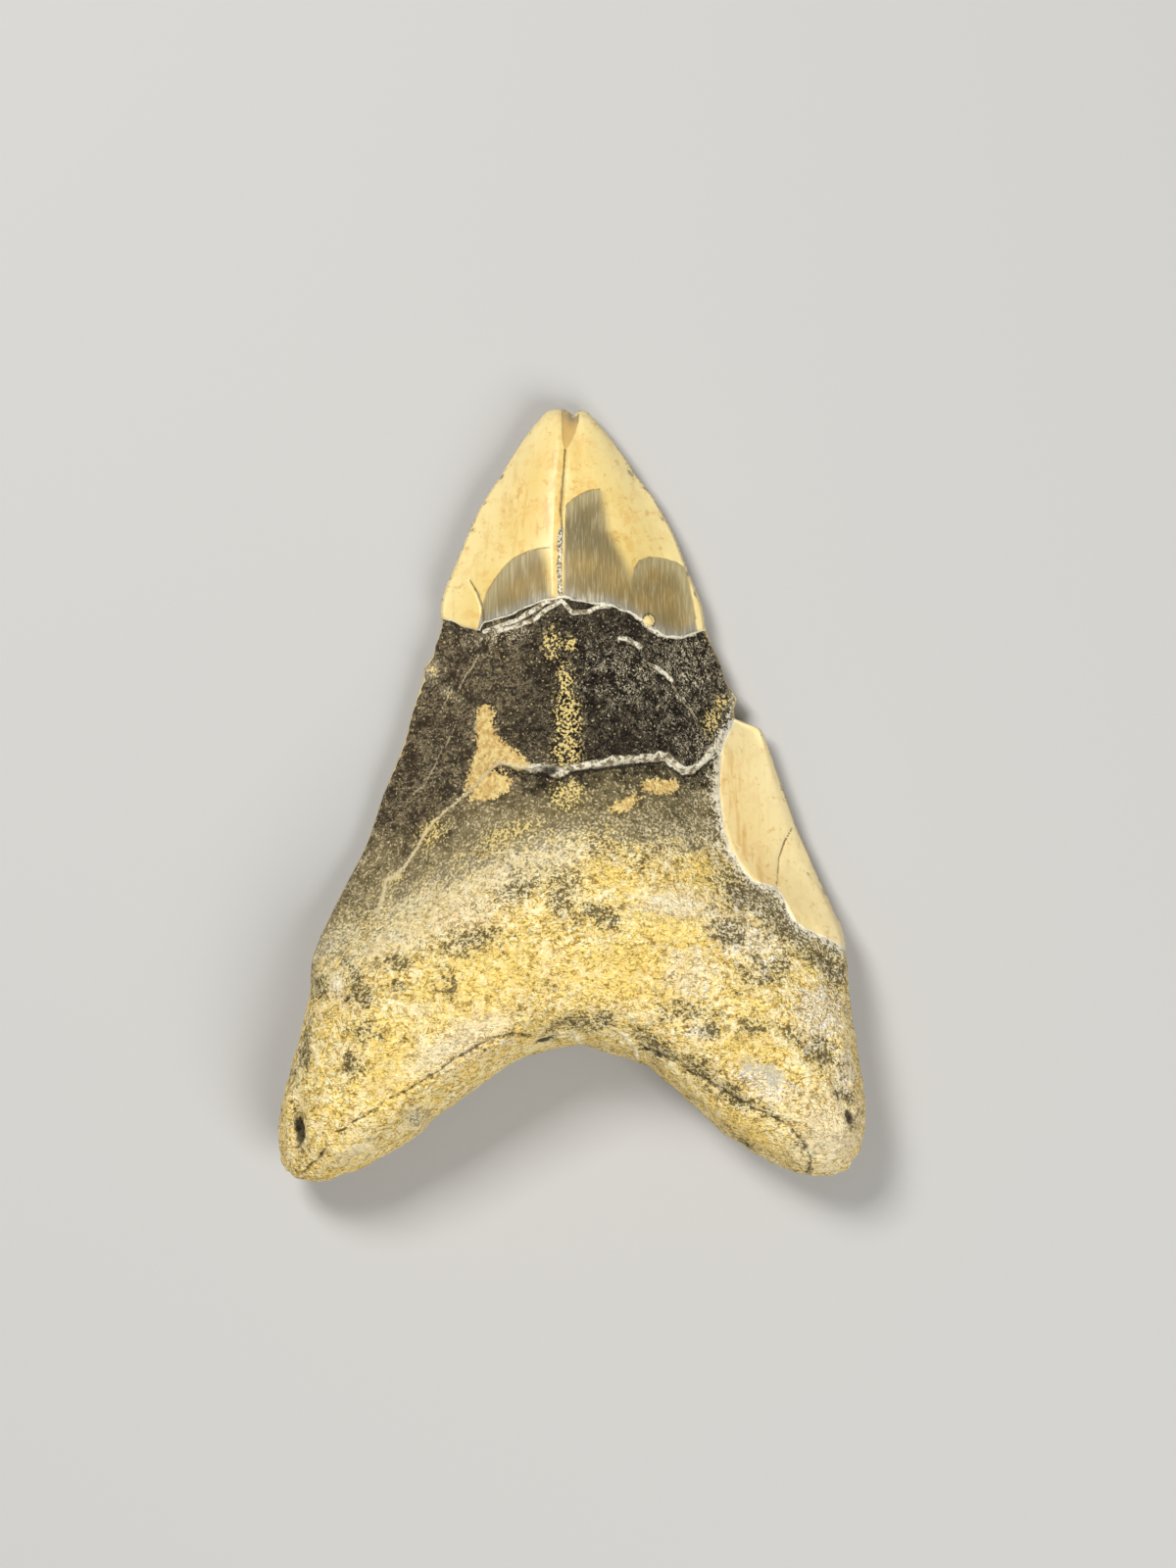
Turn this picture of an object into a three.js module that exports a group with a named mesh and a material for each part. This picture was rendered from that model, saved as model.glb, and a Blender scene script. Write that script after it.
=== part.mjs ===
// A fossil megalodon tooth, in millimetres, lying on its flat labial face with the domed lingual face up.
// +Y runs from the root to the tip, +X is to the right as the lingual face is seen, and +Z is up.
// The origin is on the surface that it lies on, under the middle of its box.
//
// The tooth grew as one piece, so it is one closed solid. A net of rows and columns is stretched between
// four curves: the two cutting edges, the blunt tip and the arched base of the root. It carries the form
// of the lingual face, with what is left of the enamel raised over the bare dentine, and a coarser share
// of the same lines carries the labial face. Lines of the net run along the broken enamel walls.

import * as THREE from "three";

// Driving dimensions
const TIP_EDGE_HEIGHT = 3.2; // the outline's height over the surface at the tip,
const CROWN_EDGE_HEIGHT = 4.0; // along the cutting edges
const ROOT_EDGE_HEIGHT = 9.0; // and around the root
const ENAMEL_THICKNESS = 1.0;
const SPALL_DEPTH = 0.5; // where the outer skin of the enamel has flaked off
const LEDGE_RISE = 0.4; // the hardened filling of the crack across the crown, over the dentine above it
const LEDGE_DROP = 0.6; // from the dentine above that crack down to the band below it
const WALL_HALF_WIDTH = 0.3; // half the width, seen from above, of a broken wall
const LEAST_THICKNESS = 1.2; // between the two faces, just inside the outline

// Shape of the two faces, in shares of the way across (0 at an edge, 1 in the middle) or down (0 at the tip)
const ROOT_BLEND = [0.56, 0.8]; // where, on the way down, the crown's form passes into the root's
const EDGE_BLEND = 0.2; // by where the outline has risen from the tip's height to the crown's
const DOME_ROUNDNESS = 0.75; // how much of the crown's dome is a parabola, the rest being bell-shaped
const ROOT_SHOULDER = 0.26; // how far in the root's round shoulder reaches on the lingual face
const LOBE_FALL = 0.34; // how much lower the root's lobes are than its middle
const TIP_ROUNDING = 0.05;
const BASE_ROUNDING = 0.1;
const LABIAL_FLAT_CROWN = 0.62; // how far in the labial face comes down to the surface, on the crown
const LABIAL_FLAT_ROOT = 0.2; // and on the root
const LABIAL_TIP_ROUNDING = 0.04;
const LABIAL_BASE_ROUNDING = 0.08;
const CROWN_FORM = [0.05, 0.15]; // where the form starts to be measured between the smoothed sides

// Relief that isn't drawn line by line
const LUMPS = [
  { size: 9, height: 1 },
  { size: 4.5, height: 0.7 },
  { size: 2.8, height: 0.35 },
];
const CROWN_LUMPINESS = 0.12;
const ROOT_LUMPINESS = 0.55;
const LEDGE_FILLING_WIDTH = 1.1;
const LEDGE_RECOVERY = [1, 12]; // how far below the ledge the band under it starts and ends its way back up
const LEDGE_START = [-33, -14]; // along X, where the ledge comes out of the dentine
const UNDER_ENAMEL = { depth: 0.9, at: 0.76, width: 0.035 }; // the labial dip below the enamel
const LABIAL_NOTCH = { depth: 2.2, halfWidth: 13, from: 0.74, full: 0.9 }; // between the lobes
const LABIAL_PITS = { depth: 0.25, size: 6 };

// Height of the dentine over the surface, along the middle, by the share of the way from tip to base
const MIDLINE_HEIGHTS = [
  [0.0, 6.2],
  [0.05, 7.8],
  [0.1, 9.6],
  [0.2, 12.6],
  [0.3, 14.9],
  [0.4, 16.8],
  [0.5, 18.4],
  [0.6, 20.4],
  [0.7, 23.2],
  [0.8, 25.6],
  [0.88, 26.4],
  [0.94, 26.0],
  [1.0, 25.0],
];

// The outline seen from above. Each cutting edge runs down from the tip and on along the root's side.
const LEFT_EDGE = [
  [-5.3, 58.6],
  [-8.0, 54.9],
  [-11.2, 49.9],
  [-14.2, 45.3],
  [-17.3, 38.4],
  [-20.0, 31.5],
  [-20.7, 28.8],
  [-20.1, 26.6],
  [-21.5, 22.3],
  [-24.9, 13.4],
  [-26.6, 6.2],
  [-28.4, 3.0],
  [-31.2, -5.2],
  [-32.6, -9.4],
  [-34.3, -12.1],
  [-38.8, -21.2],
  [-40.6, -26.0],
  [-40.8, -30.4],
  [-43.0, -39.8],
  [-45.4, -48.8],
  [-45.8, -53.4],
  [-45.5, -56.6],
  [-44.5, -58.8],
];
const RIGHT_EDGE = [
  [3.6, 58.7],
  [6.7, 54.9],
  [10.2, 49.8],
  [11.0, 48.5],
  [12.0, 47.8],
  [13.4, 45.4],
  [16.0, 40.7],
  [18.7, 33.8],
  [20.6, 29.2],
  [20.8, 26.4],
  [23.3, 20.0],
  [24.4, 16.7],
  [25.5, 15.9],
  [25.8, 14.5],
  [25.0, 12.9],
  [25.5, 11.9],
  [27.0, 11.5],
  [28.9, 11.1],
  [29.8, 10.0],
  [33.6, -0.6],
  [37.3, -9.8],
  [41.5, -19.0],
  [42.7, -21.6],
  [42.8, -24.2],
  [43.7, -35.0],
  [45.6, -45.6],
  [45.8, -49.2],
  [45.4, -53.4],
  [44.6, -56.2],
  [43.2, -58.1],
];
const TIP = [
  [-5.3, 58.6],
  [-3.9, 60.0],
  [-2.2, 60.4],
  [-0.7, 60.1],
  [0.2, 59.4],
  [1.0, 60.1],
  [2.2, 60.0],
  [3.6, 58.7],
];
const BASE = [
  [-44.5, -58.8],
  [-42.9, -59.9],
  [-40.8, -60.4],
  [-37.6, -60.0],
  [-30.2, -56.9],
  [-19.2, -49.3],
  [-9.2, -42.0],
  [-5.6, -40.2],
  [-1.4, -39.4],
  [2.4, -39.0],
  [4.6, -40.0],
  [8.3, -40.9],
  [12.0, -42.5],
  [21.2, -50.6],
  [26.7, -54.9],
  [34.0, -58.6],
  [38.0, -59.4],
  [40.8, -59.3],
  [43.2, -58.1],
];

// Regions of the lingual face. Each outline follows one broken line over the tooth and closes well
// outside it. The cap is the enamel over the tip, and the blade is a sliver of enamel by the right
// cutting edge. The crown is all above the crack that crosses the dentine.
const CAP = [
  [-24.0, 28.4],
  [-20.9, 27.8],
  [-16.9, 26.2],
  [-14.3, 25.6],
  [-13.7, 26.7],
  [-9.7, 27.8],
  [-6.7, 29.1],
  [-4.2, 30.1],
  [-1.3, 30.8],
  [1.6, 29.8],
  [6.0, 29.4],
  [9.0, 28.2],
  [10.9, 27.0],
  [12.8, 25.6],
  [14.6, 24.6],
  [17.2, 24.4],
  [18.9, 25.2],
  [24.0, 26.6],
  [40.0, 40.0],
  [0.0, 90.0],
  [-40.0, 40.0],
];
const BLADE = [
  [27.0, 18.0],
  [25.2, 11.3],
  [23.9, 9.0],
  [23.1, 6.1],
  [22.8, 2.8],
  [22.9, -1.2],
  [23.6, -5.2],
  [24.6, -8.5],
  [26.9, -12.1],
  [28.2, -13.5],
  [32.2, -14.6],
  [32.9, -16.4],
  [34.2, -19.1],
  [36.2, -21.0],
  [39.2, -22.1],
  [42.7, -24.1],
  [56.0, -28.0],
  [56.0, 18.0],
];
const CROWN = [
  [40.0, 7.2],
  [23.3, 6.6],
  [20.1, 3.7],
  [16.8, 4.0],
  [14.2, 6.1],
  [7.7, 5.2],
  [-0.1, 3.6],
  [-3.6, 4.7],
  [-7.1, 3.7],
  [-11.7, 5.0],
  [-15.8, 0.8],
  [-22.0, -4.9],
  [-26.2, -11.5],
  [-29.8, -13.9],
  [-34.0, -19.0],
  [-60.0, -32.0],
  [-60.0, 90.0],
  [60.0, 90.0],
];

// Three shallow flakes out of the cap, each a fan with its arched rim towards the tip
const SPALLS = [
  [
    [-14.0, 24.0],
    [-13.9, 29.8],
    [-11.2, 33.6],
    [-9.1, 36.1],
    [-7.0, 37.5],
    [-3.5, 38.4],
    [-3.6, 24.0],
  ],
  [
    [-1.5, 24.0],
    [-1.2, 44.9],
    [0.7, 46.7],
    [3.9, 47.4],
    [4.6, 42.0],
    [5.6, 38.0],
    [7.2, 34.0],
    [9.0, 24.0],
  ],
  [
    [9.2, 24.0],
    [8.9, 35.2],
    [10.6, 36.8],
    [12.3, 37.2],
    [15.1, 36.6],
    [17.2, 35.7],
    [18.0, 33.7],
    [19.4, 30.8],
    [19.9, 24.0],
  ],
];
const SPALL_RIM = 1.2; // how far in from its rim a flake reaches its full depth
const SPALL_LENGTH = 15; // how far below the top of its rim it has run out

// Open grooves: the split down the cap, and where the root's face turns under towards its base
const GROOVES = [
  { depth: 0.45, halfWidth: 0.5, line: [[-1.0, 54.0], [-1.6, 49.0], [-1.8, 41.0], [-1.9, 31.0]] },
  {
    depth: 0.9,
    halfWidth: 1.3,
    line: [[-42.9, -56.5], [-36.9, -49.7], [-29.6, -45.1], [-22.3, -41.2], [-14.3, -36.1], [-5.7, -34.1]],
  },
  {
    depth: 0.9,
    halfWidth: 1.3,
    line: [[7.4, -36.5], [11.3, -39.4], [21.0, -44.5], [28.2, -48.5], [34.5, -52.1], [37.3, -55.4]],
  },
];

// Oval hollows: middle, half width, half length, turn in degrees and depth
const HOLLOWS = [
  { at: [-0.4, 57.6], half: [1.3, 3.4], turn: 8, depth: 1.0 }, // chip at the tip
  { at: [-42.4, -50.0], half: [1.1, 3.8], turn: 4, depth: 1.6 }, // vessel opening in the left lobe
  { at: [-36.1, -30.7], half: [1.3, 1.7], turn: -40, depth: 0.9 },
  { at: [-6.0, -37.2], half: [3.6, 1.4], turn: 20, depth: 1.4 }, // beside the arch of the base
  { at: [40.6, -28.5], half: [1.6, 2.8], turn: 10, depth: 1.0 },
  { at: [37.8, -53.5], half: [1.6, 3.0], turn: 25, depth: 0.9 },
  { at: [31.0, -41.5], half: [5.0, 2.6], turn: -35, depth: 0.8 },
  { at: [19.0, -33.0], half: [4.6, 3.0], turn: -20, depth: 0.6 },
  { at: [-24.0, -36.0], half: [5.0, 2.8], turn: 30, depth: 0.7 },
  { at: [-18.8, 15.0], half: [1.6, 0.9], turn: -45, depth: 0.8 }, // gouge in the bare dentine
];

// The net: its columns run from side to side and its rows from tip to base. Both counts are even.
const COLUMNS = 56;
const ROWS = 64;
const CROWDING = 0.35; // how much closer together the lines lie near the outline
const SIDE_SAMPLES = 800; // along each side of the outline
const SMOOTHING = 36; // samples each way, for a side with its bites and beads averaged out
const BITE_REACH = 0.1; // how far across the net gives way to a bite or a bead
const BITE_FADE = 0.08; // how far down from the tip, and up from the base, the whole width gives way
const CAP_BORDER_REACH = [0.15, 0.45]; // where down the net the cap's broken wall is met
const LEDGE_REACH = [0.35, 0.8]; // where down the net the ledge is met
const BLADE_REACH = [0.8, 0.95]; // where across the net the blade's broken wall is met
const BLADE_EASE = 0.2; // the share of the rows over which the lines swing back past the blade's ends
const HALVINGS = 24; // in the search for where the net meets an outline
const CURVE_DIVISIONS = 2000; // for measuring along the curves of the outline

const FOSSIL_COLOUR = 0xc9a968;

function lerp(a, b, t) {
  return a + (b - a) * t;
}

function clamp01(t) {
  return Math.min(1, Math.max(0, t));
}

function smoothstep(low, high, x) {
  const t = clamp01((x - low) / (high - low));
  return t * t * (3 - 2 * t);
}

// A quarter round: 0 at t = 0, where it is upright, and 1 from t = 1 on
function quarterRound(t) {
  return Math.sqrt(1 - (1 - clamp01(t)) ** 2);
}

function readTable(table, x) {
  const next = table.findIndex(([key]) => key >= x);
  if (next < 0) return table.at(-1)[1];
  if (next === 0) return table[0][1];
  const [x0, y0] = table[next - 1];
  const [x1, y1] = table[next];
  return lerp(y0, y1, (x - x0) / (x1 - x0));
}

// The place between low and high where a falling function passes through zero
function findZero(fallingFunction, low, high) {
  for (let step = 0; step < HALVINGS; step++) {
    const middle = (low + high) / 2;
    if (fallingFunction(middle) > 0) low = middle;
    else high = middle;
  }
  return (low + high) / 2;
}

// Smooth noise between about -1 and 1, from hashed values at the corners of a square grid
function cornerValue(i, j, seed) {
  const wave = Math.sin(i * 127.1 + j * 311.7 + seed * 74.7) * 43758.5453;
  return 2 * (wave - Math.floor(wave)) - 1;
}

function noise(x, y, size, seed) {
  const [gx, gy] = [x / size, y / size];
  const [i, j] = [Math.floor(gx), Math.floor(gy)];
  const [tx, ty] = [smoothstep(0, 1, gx - i), smoothstep(0, 1, gy - j)];
  const low = lerp(cornerValue(i, j, seed), cornerValue(i + 1, j, seed), tx);
  const high = lerp(cornerValue(i, j + 1, seed), cornerValue(i + 1, j + 1, seed), tx);
  return lerp(low, high, ty);
}

function distanceToLine(points, x, y) {
  let nearest = Infinity;
  for (let i = 0; i + 1 < points.length; i++) {
    const [ax, ay] = points[i];
    const [ex, ey] = [points[i + 1][0] - ax, points[i + 1][1] - ay];
    const t = clamp01(((x - ax) * ex + (y - ay) * ey) / (ex * ex + ey * ey));
    nearest = Math.min(nearest, Math.hypot(x - ax - t * ex, y - ay - t * ey));
  }
  return nearest;
}

// How far a point is inside a closed outline; negative outside
function depthInside(points, x, y) {
  let inside = false;
  points.forEach(([ax, ay], i) => {
    const [bx, by] = points[(i + 1) % points.length];
    const crosses = ay > y !== by > y;
    if (crosses && x < ax + ((y - ay) / (by - ay)) * (bx - ax)) inside = !inside;
  });
  const distance = distanceToLine([...points, points[0]], x, y);
  return inside ? distance : -distance;
}

// The net over the outline

function curveThrough(points) {
  const curve = new THREE.CatmullRomCurve3(
    points.map(([x, y]) => new THREE.Vector3(x, y, 0)),
    false,
    "centripetal",
  );
  curve.arcLengthDivisions = CURVE_DIVISIONS;
  return curve;
}

// Points along a side at even steps of height, so that the rows run level across the tooth
function levelPoints(points) {
  const curve = curveThrough(points);
  const [top, bottom] = [points[0][1], points.at(-1)[1]];
  const level = [];
  for (let i = 0; i <= SIDE_SAMPLES; i++) {
    const height = lerp(top, bottom, i / SIDE_SAMPLES);
    level.push(curve.getPoint(findZero((t) => curve.getPoint(t).y - height, 0, 1)));
  }
  return level;
}

function sidePoint(level, v) {
  const before = Math.min(SIDE_SAMPLES - 1, Math.floor(v * SIDE_SAMPLES));
  return level[before].clone().lerp(level[before + 1], v * SIDE_SAMPLES - before);
}

function smoothedSide(level) {
  return level.map((point, i) => {
    const near = level.slice(Math.max(0, i - SMOOTHING), i + SMOOTHING + 1);
    const mean = near.reduce((sum, { x }) => sum + x, 0) / near.length;
    return point.clone().setX(mean);
  });
}

const leftSide = levelPoints(LEFT_EDGE);
const rightSide = levelPoints(RIGHT_EDGE);
const smoothLeftSide = smoothedSide(leftSide);
const smoothRightSide = smoothedSide(rightSide);
const tipCurve = curveThrough(TIP);
const baseCurve = curveThrough(BASE);

// How far a point at u across moves with a bite in the side at u = 0. Only the lines close to that side do,
// except by the tip and the base, where the net has to end on their curves.
function biteShare(u, v) {
  const nearby = 1 - smoothstep(0, BITE_REACH, u);
  const awayFromEnds = smoothstep(0, BITE_FADE, v) * smoothstep(0, BITE_FADE, 1 - v);
  return lerp(1 - u, nearby, awayFromEnds);
}

// The point at u across from the left edge and v down from the tip, each 0 to 1
function netPoint(u, v) {
  const [left, smoothLeft] = [sidePoint(leftSide, v), sidePoint(smoothLeftSide, v)];
  const [right, smoothRight] = [sidePoint(rightSide, v), sidePoint(smoothRightSide, v)];
  const leftBite = (left.x - smoothLeft.x) * biteShare(u, v);
  const rightBite = (right.x - smoothRight.x) * biteShare(1 - u, v);
  const across = smoothLeft.clone().lerp(smoothRight, u);
  across.x += leftBite + rightBite;
  const down = tipCurve.getPointAt(u).lerp(baseCurve.getPointAt(u), v);
  const tipEnds = leftSide[0].clone().lerp(rightSide[0], u);
  const baseEnds = leftSide.at(-1).clone().lerp(rightSide.at(-1), u);
  return across.add(down).sub(tipEnds.lerp(baseEnds, v));
}

function crowded(t) {
  return t - (CROWDING * Math.sin(2 * Math.PI * t)) / (2 * Math.PI);
}

function depthAt(outline, u, v) {
  const { x, y } = netPoint(u, v);
  return depthInside(outline, x, y);
}

// Two rows run along the top and the foot of the cap's broken wall, and two along the ledge.
const GUIDE_ROWS = [
  { row: 20, outline: CAP, depth: WALL_HALF_WIDTH, between: CAP_BORDER_REACH },
  { row: 21, outline: CAP, depth: -WALL_HALF_WIDTH, between: CAP_BORDER_REACH },
  { row: 33, outline: CROWN, depth: WALL_HALF_WIDTH, between: LEDGE_REACH },
  { row: 34, outline: CROWN, depth: -WALL_HALF_WIDTH, between: LEDGE_REACH },
];

function rowPlace(row, u) {
  const stops = GUIDE_ROWS.map((guide) => {
    const beyond = (v) => depthAt(guide.outline, u, v) - guide.depth;
    return [crowded(guide.row / ROWS), findZero(beyond, ...guide.between)];
  });
  return readTable([[0, 0], ...stops, [1, 1]], crowded(row / ROWS));
}

// Two columns run along the top and the foot of the blade's broken wall, past whose ends they swing back.
const GUIDE_COLUMNS = [
  { column: 46, depth: -WALL_HALF_WIDTH },
  { column: 47, depth: WALL_HALF_WIDTH },
];

function bladeCrossing(row, depth) {
  const [low, high] = BLADE_REACH;
  const short = (u) => depth - depthAt(BLADE, u, rowPlace(row, u));
  return short(high) > 0 ? null : findZero(short, low, high);
}

// The crossings of both columns by row, and null where a row doesn't meet both sides of the wall
const bladeCrossings = [];
for (let row = 0; row <= ROWS; row++) {
  const crossings = GUIDE_COLUMNS.map(({ depth }) => bladeCrossing(row, depth));
  bladeCrossings.push(crossings.includes(null) ? null : crossings);
}
const firstCrossed = bladeCrossings.findIndex((crossings) => crossings !== null);
const lastCrossed = bladeCrossings.findLastIndex((crossings) => crossings !== null);

function guideColumnPlace(guide, row) {
  const nearest = Math.min(lastCrossed, Math.max(firstCrossed, row));
  const rest = crowded(GUIDE_COLUMNS[guide].column / COLUMNS);
  const away = Math.abs(row - nearest) / (BLADE_EASE * ROWS);
  return lerp(bladeCrossings[nearest][guide], rest, smoothstep(0, 1, away));
}

function columnPlace(column, row) {
  const stops = GUIDE_COLUMNS.map((guide, n) => [crowded(guide.column / COLUMNS), guideColumnPlace(n, row)]);
  return readTable([[0, 0], [0.5, 0.5], ...stops, [1, 1]], crowded(column / COLUMNS));
}

// The form of the two faces, by place in the net

function rootShare(v) {
  return smoothstep(...ROOT_BLEND, v);
}

function edgeHeight(v) {
  const crown = lerp(TIP_EDGE_HEIGHT, CROWN_EDGE_HEIGHT, smoothstep(0, EDGE_BLEND, v));
  return lerp(crown, ROOT_EDGE_HEIGHT, rootShare(v));
}

// A bite out of the cutting edge leaves the form of the crown as it is, so there u is measured between
// the smooth sides that the crown had.
function formPlace(x, u, v) {
  const left = sidePoint(smoothLeftSide, v).x;
  const right = sidePoint(smoothRightSide, v).x;
  const onCrown = smoothstep(...CROWN_FORM, v) * (1 - rootShare(v));
  return lerp(u, clamp01((x - left) / (right - left)), onCrown);
}

// The crown is a dome that flattens out towards its cutting edges, and the root is round-shouldered.
function lingualHeight(u, v) {
  const toMiddle = 1 - Math.abs(2 * u - 1);
  const crown = lerp(smoothstep(0, 1, toMiddle), 1 - (1 - toMiddle) ** 2, DOME_ROUNDNESS);
  const lobeSlope = 1 - LOBE_FALL * (1 - toMiddle) ** 1.5;
  const root = quarterRound(toMiddle / ROOT_SHOULDER) * lobeSlope;
  const across = lerp(crown, root, rootShare(v));
  const ends = quarterRound(v / TIP_ROUNDING) * quarterRound((1 - v) / BASE_ROUNDING);
  return edgeHeight(v) + (readTable(MIDLINE_HEIGHTS, v) - edgeHeight(v)) * across * ends;
}

function labialHeight(u, v) {
  const toMiddle = 1 - Math.abs(2 * u - 1);
  const crown = 1 - (1 - clamp01(toMiddle / LABIAL_FLAT_CROWN)) ** 2;
  const root = quarterRound(toMiddle / LABIAL_FLAT_ROOT);
  const across = lerp(crown, root, rootShare(v));
  const ends = quarterRound(v / LABIAL_TIP_ROUNDING) * quarterRound((1 - v) / LABIAL_BASE_ROUNDING);
  return edgeHeight(v) * (1 - across * ends);
}

// The relief of the two faces, by place on the tooth

function enamelRelief(x, y) {
  const inside = Math.max(depthInside(CAP, x, y), depthInside(BLADE, x, y));
  const covered = smoothstep(-WALL_HALF_WIDTH, WALL_HALF_WIDTH, inside);
  const flaked = SPALLS.map((fan) => {
    const rimTop = Math.max(...fan.map((point) => point[1]));
    const left = 1 - smoothstep(0, SPALL_LENGTH, rimTop - y);
    return left * smoothstep(0, SPALL_RIM, depthInside(fan, x, y));
  });
  return covered * (ENAMEL_THICKNESS - SPALL_DEPTH * Math.max(...flaked));
}

// The ledge is in the dentine alone. The blade's enamel lies over it.
function ledgeRelief(x, y) {
  const above = depthInside(CROWN, x, y);
  const filling = LEDGE_RISE * Math.exp(-(((above - WALL_HALF_WIDTH) / LEDGE_FILLING_WIDTH) ** 2));
  const lower = LEDGE_DROP * (1 - smoothstep(-WALL_HALF_WIDTH, WALL_HALF_WIDTH, above));
  const fadeDown = 1 - smoothstep(...LEDGE_RECOVERY, -above);
  const fadeLeft = smoothstep(...LEDGE_START, x);
  const bare = 1 - smoothstep(-WALL_HALF_WIDTH, WALL_HALF_WIDTH, depthInside(BLADE, x, y));
  const onCrown = smoothstep(0, WALL_HALF_WIDTH, above);
  return (filling * onCrown - lower * fadeDown) * fadeLeft * bare;
}

function grooveRelief(x, y) {
  let relief = 0;
  for (const { depth, halfWidth, line } of GROOVES) {
    relief -= depth * Math.exp(-((distanceToLine(line, x, y) / halfWidth) ** 2));
  }
  return relief;
}

function hollowRelief(x, y) {
  let relief = 0;
  for (const { at, half, turn, depth } of HOLLOWS) {
    const angle = THREE.MathUtils.degToRad(turn);
    const [dx, dy] = [x - at[0], y - at[1]];
    const across = (dx * Math.cos(angle) + dy * Math.sin(angle)) / half[0];
    const along = (dy * Math.cos(angle) - dx * Math.sin(angle)) / half[1];
    relief -= depth * Math.exp(-((across ** 2 + along ** 2) ** 1.5));
  }
  return relief;
}

function lumps(x, y, v) {
  const shape = LUMPS.reduce((sum, { size, height }, n) => sum + height * noise(x, y, size, n + 1), 0);
  return shape * lerp(CROWN_LUMPINESS, ROOT_LUMPINESS, rootShare(v));
}

function lingualRelief(x, y, v) {
  return enamelRelief(x, y) + ledgeRelief(x, y) + grooveRelief(x, y) + hollowRelief(x, y) + lumps(x, y, v);
}

// The labial face lies on its crown and on both lobes. It is sunk a little along the enamel's lower
// border and between the lobes, and is pitted on the root.
function labialRelief(x, y, v) {
  const underEnamel = UNDER_ENAMEL.depth * Math.exp(-(((v - UNDER_ENAMEL.at) / UNDER_ENAMEL.width) ** 2));
  const { depth, halfWidth, from, full } = LABIAL_NOTCH;
  const betweenLobes = depth * Math.exp(-((x / halfWidth) ** 2)) * smoothstep(from, full, v);
  const pits = LABIAL_PITS.depth * Math.max(0, noise(x, y, LABIAL_PITS.size, 5)) * rootShare(v);
  return underEnamel + betweenLobes + pits;
}

// The mesh

const places = []; // x, y and z of every vertex in turn
const triangles = []; // three vertex numbers each

function addVertex(x, y, z) {
  places.push(x, y, z);
  return places.length / 3 - 1;
}

// The labial net keeps the lines next to the outline, and every other line further in.
function isOnLabialNet(row, column) {
  const nextToOutline = Math.min(row, ROWS - row, column, COLUMNS - column) <= 1;
  return nextToOutline || (row % 2 === 0 && column % 2 === 0);
}

const lingualNet = []; // vertex numbers by row and column
const labialNet = [];
for (let row = 0; row <= ROWS; row++) {
  lingualNet.push([]);
  labialNet.push([]);
  for (let column = 0; column <= COLUMNS; column++) {
    const u = columnPlace(column, row);
    const v = rowPlace(row, u);
    const { x, y } = netPoint(u, v);
    const onOutline = row === 0 || row === ROWS || column === 0 || column === COLUMNS;
    const form = formPlace(x, u, v);
    const floor = onOutline ? edgeHeight(v) : Math.max(0, labialHeight(form, v) + labialRelief(x, y, v));
    const top = Math.max(lingualHeight(form, v) + lingualRelief(x, y, v), floor + LEAST_THICKNESS);
    const labial = isOnLabialNet(row, column) ? addVertex(x, y, floor) : null;
    labialNet[row].push(labial);
    lingualNet[row].push(onOutline ? labial : addVertex(x, y, top));
  }
}

// Each lingual cell is cut along the diagonal that follows the dome.
for (let row = 0; row < ROWS; row++) {
  for (let column = 0; column < COLUMNS; column++) {
    const [a, b] = [lingualNet[row][column], lingualNet[row][column + 1]];
    const [c, d] = [lingualNet[row + 1][column + 1], lingualNet[row + 1][column]];
    if (column < COLUMNS / 2) triangles.push([a, d, b], [b, d, c]);
    else triangles.push([a, c, b], [a, d, c]);
  }
}

// Each labial cell spans two rows and two columns. It is a fan around its middle where it has one.
const CELL_RIM = [
  [0, 0],
  [0, 1],
  [0, 2],
  [1, 2],
  [2, 2],
  [2, 1],
  [2, 0],
  [1, 0],
];
for (let row = 0; row < ROWS; row += 2) {
  for (let column = 0; column < COLUMNS; column += 2) {
    const rim = CELL_RIM.map(([r, c]) => labialNet[row + r][column + c]).filter((vertex) => vertex !== null);
    const middle = labialNet[row + 1][column + 1];
    const hub = middle ?? rim.shift();
    const spokes = middle === null ? rim : [...rim, rim[0]];
    for (let i = 0; i + 1 < spokes.length; i++) triangles.push([hub, spokes[i], spokes[i + 1]]);
  }
}

const geometry = new THREE.BufferGeometry();
geometry.setAttribute("position", new THREE.Float32BufferAttribute(places, 3));
geometry.setIndex(triangles.flat());
geometry.computeBoundingBox();
const middle = geometry.boundingBox.getCenter(new THREE.Vector3());
geometry.translate(-middle.x, -middle.y, -geometry.boundingBox.min.z);
geometry.computeVertexNormals();

const fossil = new THREE.MeshStandardMaterial({ color: FOSSIL_COLOUR, roughness: 0.75, metalness: 0 });
const tooth = new THREE.Mesh(geometry, fossil);
tooth.name = "tooth";

const group = new THREE.Group();
group.add(tooth);

export default group;
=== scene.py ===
# %% [markdown]
# # A fossil shark tooth, lying on a pale table
#
# One large fossil tooth is seen from straight above. Its crown was once covered all over with shiny enamel,
# and its root is rough and porous, with two lobes. Most of the enamel has broken away and shows the dark
# dentine. A cap of it is left over the tip and a leaf by the right cutting edge. The scene starts from the
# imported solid, so the size and the place are settled, and only the fine surface and its finish are made here.

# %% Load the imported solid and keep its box
import math

import bpy
import numpy as np
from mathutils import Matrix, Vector
from mathutils.kdtree import KDTree


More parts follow.
